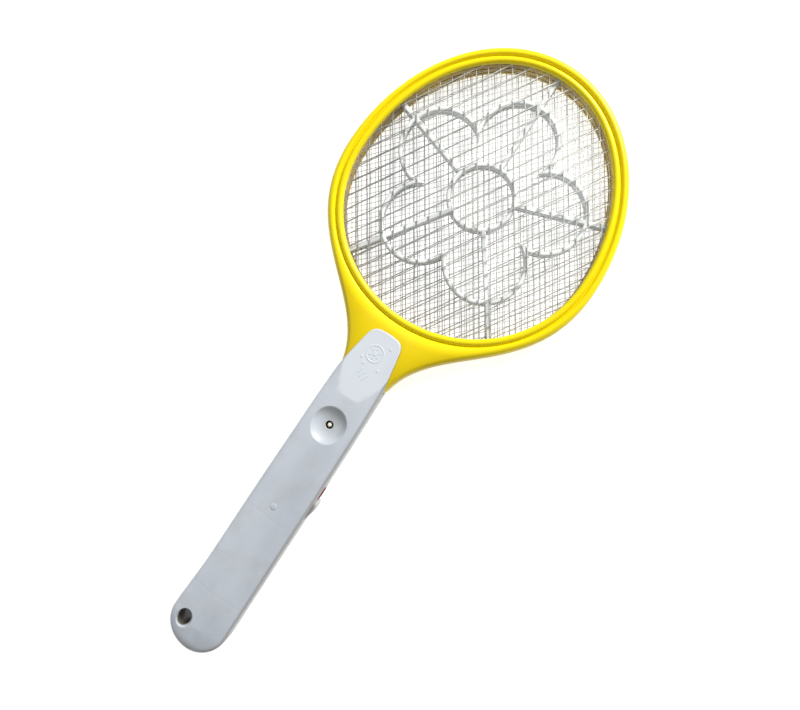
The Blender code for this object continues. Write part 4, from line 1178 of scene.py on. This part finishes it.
# Each screw's sizes: underside of the head, its seat, the tip, the head's and the shank's radius.
HEAD_SCREW = (0.5, 1.7, 15.2, 1.95, 1.15)
SCREW_SETS = (("rim_screw", RIM_SCREWS, HEAD_SCREW, 3),
              ("flare_screw", FLARE_SCREWS, HEAD_SCREW, 5),
              ("neck_screw", NECK_SCREWS, (0.5, 2.0, 22.8, 2.4, 1.2), 8),
              ("handle_screw", HANDLE_SCREWS, (2.6, 4.3, 19.6, 2.4, 1.2), 13))
for name, holes, sizes_of, seed in SCREW_SETS:
    one = pan_screw(name + "_shape", *sizes_of)
    points = bpy.data.meshes.new(name + "_set")
    points.from_pydata([place((x, y, 0.0)) for x, y in holes], [], [])
    driven = stand(name + "_set", points)
    apply_tree(driven, SCREW_TREE, screw=one, finish=ZINC, seed=seed)
    bpy.data.objects.remove(one, do_unlink=True)
    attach(driven, "racket")
    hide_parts(*["%s_%d" % (name, i + 1) for i in range(len(holes))])


# Push button: a dark red cap with three grip ridges that stands a little out of the side wall. A
# flange inside keeps it in, and its stem presses the white plunger of the switch.
BUTTON_RED = plastic("button_styrene", (0.17, 0.005, 0.006), (0.12, 0.003, 0.004), (0.12, 0.03, 0.02), 0.52,
                     mottle=0.5, smudge=0.25, dust=0.4, grain=900.0, bump=0.02, gloss=0.15)


def rounded_face(x, y0, y1, z0, z1, radius, count=6):
    """A rectangle with round corners standing across the X axis."""
    loop = []
    for cy, cz, start in ((y1 - radius, z1 - radius, 0), (y0 + radius, z1 - radius, 90),
                          (y0 + radius, z0 + radius, 180), (y1 - radius, z0 + radius, 270)):
        for i in range(count + 1):
            a = radians(start + 90 * i / count)
            loop.append((x, cy + radius * cos(a), cz + radius * sin(a)))
    return loop


(y0, y1), (z0, z1) = BUTTON_Y, BUTTON_Z
cap_levels = ((16.4, 0.0), (18.7, 0.0), (19.2, 0.1), (19.6, 0.4), (19.8, 0.9), (19.85, 1.6))
cap = capped_loft("button_cap", [rounded_face(x, y0 + d, y1 - d, z0 + d, z1 - d, 1.9) for x, d in cap_levels])
for y in (131.7, 134.0, 136.3):
    ridge = [(19.6, y - 0.45), (20.02, y - 0.15), (20.02, y + 0.15), (19.6, y + 0.45)]
    weld(cap, upright("ridge", ridge, (11.2, 16.8)))
weld(cap, block("flange", (15.3, 127.8, 7.6), (16.7, 140.2, 20.2)))
weld(cap, block("stem", (13.6, 130.8, 12.95), (15.5, 137.2, 17.9)))
wear(break_edges(cap, 0.12), BUTTON_RED)
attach(cap, "trigger")
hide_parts("push_button")


# Lamp: a small clear-cream diode on two wire legs under the bowl. Only its dome shows, down in the
# bowl's hole.
LENS = plastic("lamp_epoxy", (0.86, 0.80, 0.62), (0.80, 0.72, 0.52), (0.50, 0.44, 0.30), 0.12,
               mottle=0.3, smudge=0.1, dust=0.1, bump=0.005, coat=0.6, subsurface=0.2)
LEG_STEEL = plated("tinned_leg_steel", (0.62, 0.62, 0.60), (0.45, 0.43, 0.38), 0.3)
dome = [(1.95, 17.0), (1.95, 17.9), (1.85, 18.0), (1.5, 18.0), (1.5, 21.6), (1.44, 22.1), (1.25, 22.55),
        (0.95, 22.85), (0.5, 23.05), (0.12, 23.1)]
lens = wear(turned_part("lamp_lens", *BOWL, dome, 40), LENS)
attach(lens, "racket")
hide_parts("indicator_led")
for side, x in (("left", -0.7), ("right", 0.7)):
    leg_x, leg_y, half = BOWL[0] + x, BOWL[1], 0.25
    leg = block("lamp_leg_" + side, (leg_x - half, leg_y - half, 12.9), (leg_x + half, leg_y + half, 17.0))
    wear(leg, LEG_STEEL)
    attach(leg, "racket")


# Cells: two round dry cells side by side, nose to tail. A printed shrink sleeve in two plain colours
# wraps each, rolled over at both ends, with a steel cap and nub.
def sleeve_print():
    """A dark sleeve with a copper-coloured shoulder at the plus end and thin pale rules; no lettering."""
    mat, tree, shader = principled("cell_sleeve")
    coords = put_node(tree, "ShaderNodeAttribute", attribute_name="along")
    shoulder = ramp(tree, 0.0355, 0.0357, coords.outputs["Fac"])
    tone = blend_colour(tree, shoulder, (0.012, 0.014, 0.020), (0.55, 0.25, 0.07))
    for y in (0.0050, 0.0342, 0.0370):
        rule = ramp(tree, 0.0004, 0.0003, away_from(tree, coords.outputs["Fac"], y))
        tone = blend_colour(tree, rule, tone, (0.75, 0.75, 0.72))
    scratch = ramp(tree, 0.62, 0.74, noise(tree, 300.0, 3.0, 0.6, (1.0, 0.1, 1.0)))
    tone = blend_colour(tree, times(tree, scratch, 0.4), tone, (0.45, 0.43, 0.40))
    tree.links.new(tone, shader.inputs["Base Color"])
    dull = plus(tree, times(tree, scratch, 0.3), 0.25)
    tree.links.new(dull, shader.inputs["Roughness"])
    shader.inputs["Metallic"].default_value = 0.35
    return mat


def lying_turned(name, x, start, direction, profile):
    """A piece turned about a cell's line along Y, from (radius, distance) pairs."""
    return capped_loft(name, [[(a, start + direction * along, b) for a, b in ellipse(x, CELL_Z, r)]
                              for r, along in profile])


CELL_Z = 10.6
SLEEVE = sleeve_print()
CELL_STEEL = plated("cell_cap_steel", (0.66, 0.66, 0.65), (0.50, 0.48, 0.42), 0.22)
for number, x, start, direction in ((1, -7.6, 51.9, 1), (2, 7.6, 94.9, -1)):
    sleeve = [(6.3, 0.35), (6.75, 0.05), (7.0, 0.15), (7.1, 0.5), (7.1, 48.5), (7.0, 48.85), (6.75, 48.95),
              (6.2, 48.7)]
    wrap = lying_turned("cell_sleeve_%d" % number, x, start, direction, sleeve)
    along = wrap.data.attributes.new("along", "FLOAT", "POINT")
    for vertex, value in zip(wrap.data.vertices, along.data):
        value.value = direction * (vertex.co.y - BUTT_END - start / 1000)
    wear(wrap, SLEEVE)
    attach(wrap, "racket")
    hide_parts("battery_%d" % number)
    ends = [(4.6, 0.02), (5.9, 0.25), (6.0, 0.6), (6.0, 48.8), (5.6, 49.1), (2.9, 49.2), (2.75, 49.4),
            (2.7, 50.2), (2.45, 50.45), (1.4, 50.5)]
    caps = wear(lying_turned("cell_caps_%d" % number, x, start, direction, ends), CELL_STEEL)
    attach(caps, "racket")


# Cell springs: conical springs of bright music wire that push each cell against its plate. Their
# wide end coil lies flat on the plate.
def spring_tree():
    """Geometry nodes: a spiral of round wire from its wide end, set at a place and turned to face a way."""
    tree, entry, leave = maker_tree(
        "wound_spring", "Spring", ("Base", "Geometry", None), ("Turns", "Float", 3.5),
        ("Wide Radius", "Float", 0.004), ("Narrow Radius", "Float", 0.002), ("Length", "Float", 0.006),
        ("Wire Radius", "Float", 0.0003), ("Place", "Vector", (0, 0, 0)), ("Facing", "Vector", (0, 0, 0)),
        ("Finish", "Material", None))
    spiral = tree.nodes.new("GeometryNodeCurveSpiral")
    spiral.inputs["Resolution"].default_value = 28
    profile = tree.nodes.new("GeometryNodeCurvePrimitiveCircle")
    profile.inputs["Resolution"].default_value = 10
    wire = tree.nodes.new("GeometryNodeCurveToMesh")
    wire.inputs["Fill Caps"].default_value = True
    lay = tree.nodes.new("GeometryNodeTransform")
    plain = tree.nodes.new("GeometryNodeRealizeInstances")
    finish = tree.nodes.new("GeometryNodeSetMaterial")
    connect(tree, (entry, "Turns", spiral, "Rotations"), (entry, "Wide Radius", spiral, "Start Radius"),
            (entry, "Narrow Radius", spiral, "End Radius"), (entry, "Length", spiral, "Height"),
            (entry, "Wire Radius", profile, "Radius"), (spiral, "Curve", wire, "Curve"),
            (profile, "Curve", wire, "Profile Curve"), (wire, "Mesh", lay, "Geometry"),
            (entry, "Place", lay, "Translation"), (entry, "Facing", lay, "Rotation"),
            (lay, "Geometry", plain, "Geometry"), (plain, "Geometry", finish, "Geometry"),
            (entry, "Finish", finish, "Material"), (finish, "Geometry", leave, "Spring"))
    return tree


MUSIC_WIRE = plated("spring_music_wire", (0.62, 0.62, 0.60), (0.36, 0.33, 0.28), 0.22)
SPRING_TREE = spring_tree()
for number, x, start, reach in ((1, -7.6, 44.6, 6.6), (2, 7.6, 102.0, -6.4)):
    spring = stand("cell_spring_wire_%d" % number, bpy.data.meshes.new("cell_spring_wire"))
    facing = -pi / 2 if reach > 0 else pi / 2
    apply_tree(spring, SPRING_TREE, turns=3.2, wide_radius=0.0042, narrow_radius=0.0024,
               length=abs(reach) / 1000, wire_radius=0.00035, place=place((x, start, CELL_Z)),
               facing=(facing, 0.0, 0.0), finish=MUSIC_WIRE)
    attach(spring, "racket")
    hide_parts("cell_spring_%d" % number)


# Button spring: a straight spring of the same wire, held between the switch and the back of the
# button.
spring_low, spring_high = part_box("button_spring")
spring_y, spring_z = (spring_low.y + spring_high.y) / 2, (spring_low.z + spring_high.z) / 2
spring = stand("button_spring_wire", bpy.data.meshes.new("button_spring_wire"))
apply_tree(spring, SPRING_TREE, turns=3.5, wide_radius=0.00235, narrow_radius=0.00235,
           length=spring_high.x - spring_low.x - 0.0005, wire_radius=0.00024,
           place=(spring_low.x + 0.00025, spring_y, spring_z), facing=(0.0, pi / 2, 0.0), finish=MUSIC_WIRE)
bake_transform(spring)
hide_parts("button_spring")


# Pieces shown as the frame holds them: contact plates, switch, board, its parts and the leads. They
# have their real shapes already, so each only gets its real finish.
def board_laminate():
    """Green solder mask over copper tracks, with the weave of the glass cloth just showing."""
    mat, tree, shader = principled("board_laminate")
    coords = put_node(tree, "ShaderNodeTexCoord")
    tracks = put_node(tree, "ShaderNodeTexBrick", offset=0.5)
    tracks.inputs["Scale"].default_value = 160.0
    tracks.inputs["Mortar Size"].default_value = 0.06
    tree.links.new(coords.outputs["Object"], tracks.inputs["Vector"])
    weave = ramp(tree, 0.4, 0.6, noise(tree, 1500.0, 1.0, 0.5))
    mask = blend_colour(tree, weave, (0.012, 0.15, 0.045), (0.010, 0.12, 0.036))
    tone = blend_colour(tree, tracks.outputs["Fac"], mask, (0.018, 0.185, 0.055))
    tree.links.new(tone, shader.inputs["Base Color"])
    rough = plus(tree, times(tree, weave, 0.15), 0.3)
    tree.links.new(rough, shader.inputs["Roughness"])
    shader.inputs["Coat Weight"].default_value = 0.3
    return mat


KEPT = (
    (plated("plate_nickel", (0.68, 0.66, 0.61), (0.46, 0.42, 0.34), 0.24),
     "link_plate", "positive_plate", "negative_plate"),
    (plastic("plunger_nylon", (0.82, 0.82, 0.78), (0.74, 0.74, 0.70), (0.5, 0.48, 0.42), 0.35),
     "switch_plunger"),
    (plastic("switch_phenolic", (0.020, 0.020, 0.022), (0.03, 0.03, 0.03), (0.12, 0.11, 0.10), 0.4),
     "switch_body"),
    (board_laminate(), "circuit_board"),
    (plastic("core_ferrite", (0.035, 0.033, 0.032), (0.06, 0.055, 0.05), (0.16, 0.14, 0.12), 0.55, mottle=1.0,
             grain=1500.0, bump=0.05), "transformer_core"),
    (plastic("winding_tape", (0.62, 0.44, 0.04), (0.52, 0.34, 0.03), (0.3, 0.2, 0.05), 0.25, coat=0.3),
     "transformer_winding"),
    (plastic("film_capacitor_epoxy", (0.25, 0.055, 0.020), (0.19, 0.040, 0.015), (0.2, 0.12, 0.08), 0.22,
             coat=0.5), "storage_capacitor"),
    (plastic("ceramic_capacitor_coat", (0.02, 0.11, 0.34), (0.015, 0.08, 0.26), (0.15, 0.17, 0.2), 0.3,
             coat=0.3), "boost_capacitor_1", "boost_capacitor_2", "boost_capacitor_3"),
    (plastic("component_epoxy", (0.022, 0.022, 0.024), (0.035, 0.035, 0.035), (0.14, 0.13, 0.12), 0.38),
     "transistor", "diode_1", "diode_2", "diode_3"),
    (plastic("resistor_lacquer", (0.58, 0.43, 0.26), (0.50, 0.36, 0.21), (0.3, 0.22, 0.15), 0.35),
     "resistor"),
    (plastic("lead_red_vinyl", (0.50, 0.02, 0.015), (0.40, 0.015, 0.012), (0.2, 0.06, 0.05), 0.42),
     "battery_lead_red", "live_net_lead"),
    (plastic("lead_black_vinyl", (0.020, 0.020, 0.021), (0.035, 0.035, 0.035), (0.13, 0.12, 0.11), 0.42),
     "battery_lead_black"),
    (plastic("lead_white_vinyl", (0.76, 0.76, 0.72), (0.68, 0.68, 0.64), (0.4, 0.38, 0.33), 0.42),
     "front_net_lead", "back_net_lead"))
for finish, *names in KEPT:
    for name in names:
        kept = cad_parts[name]
        wear(kept, finish)
        for face in kept.data.polygons:
            face.material_index = 0
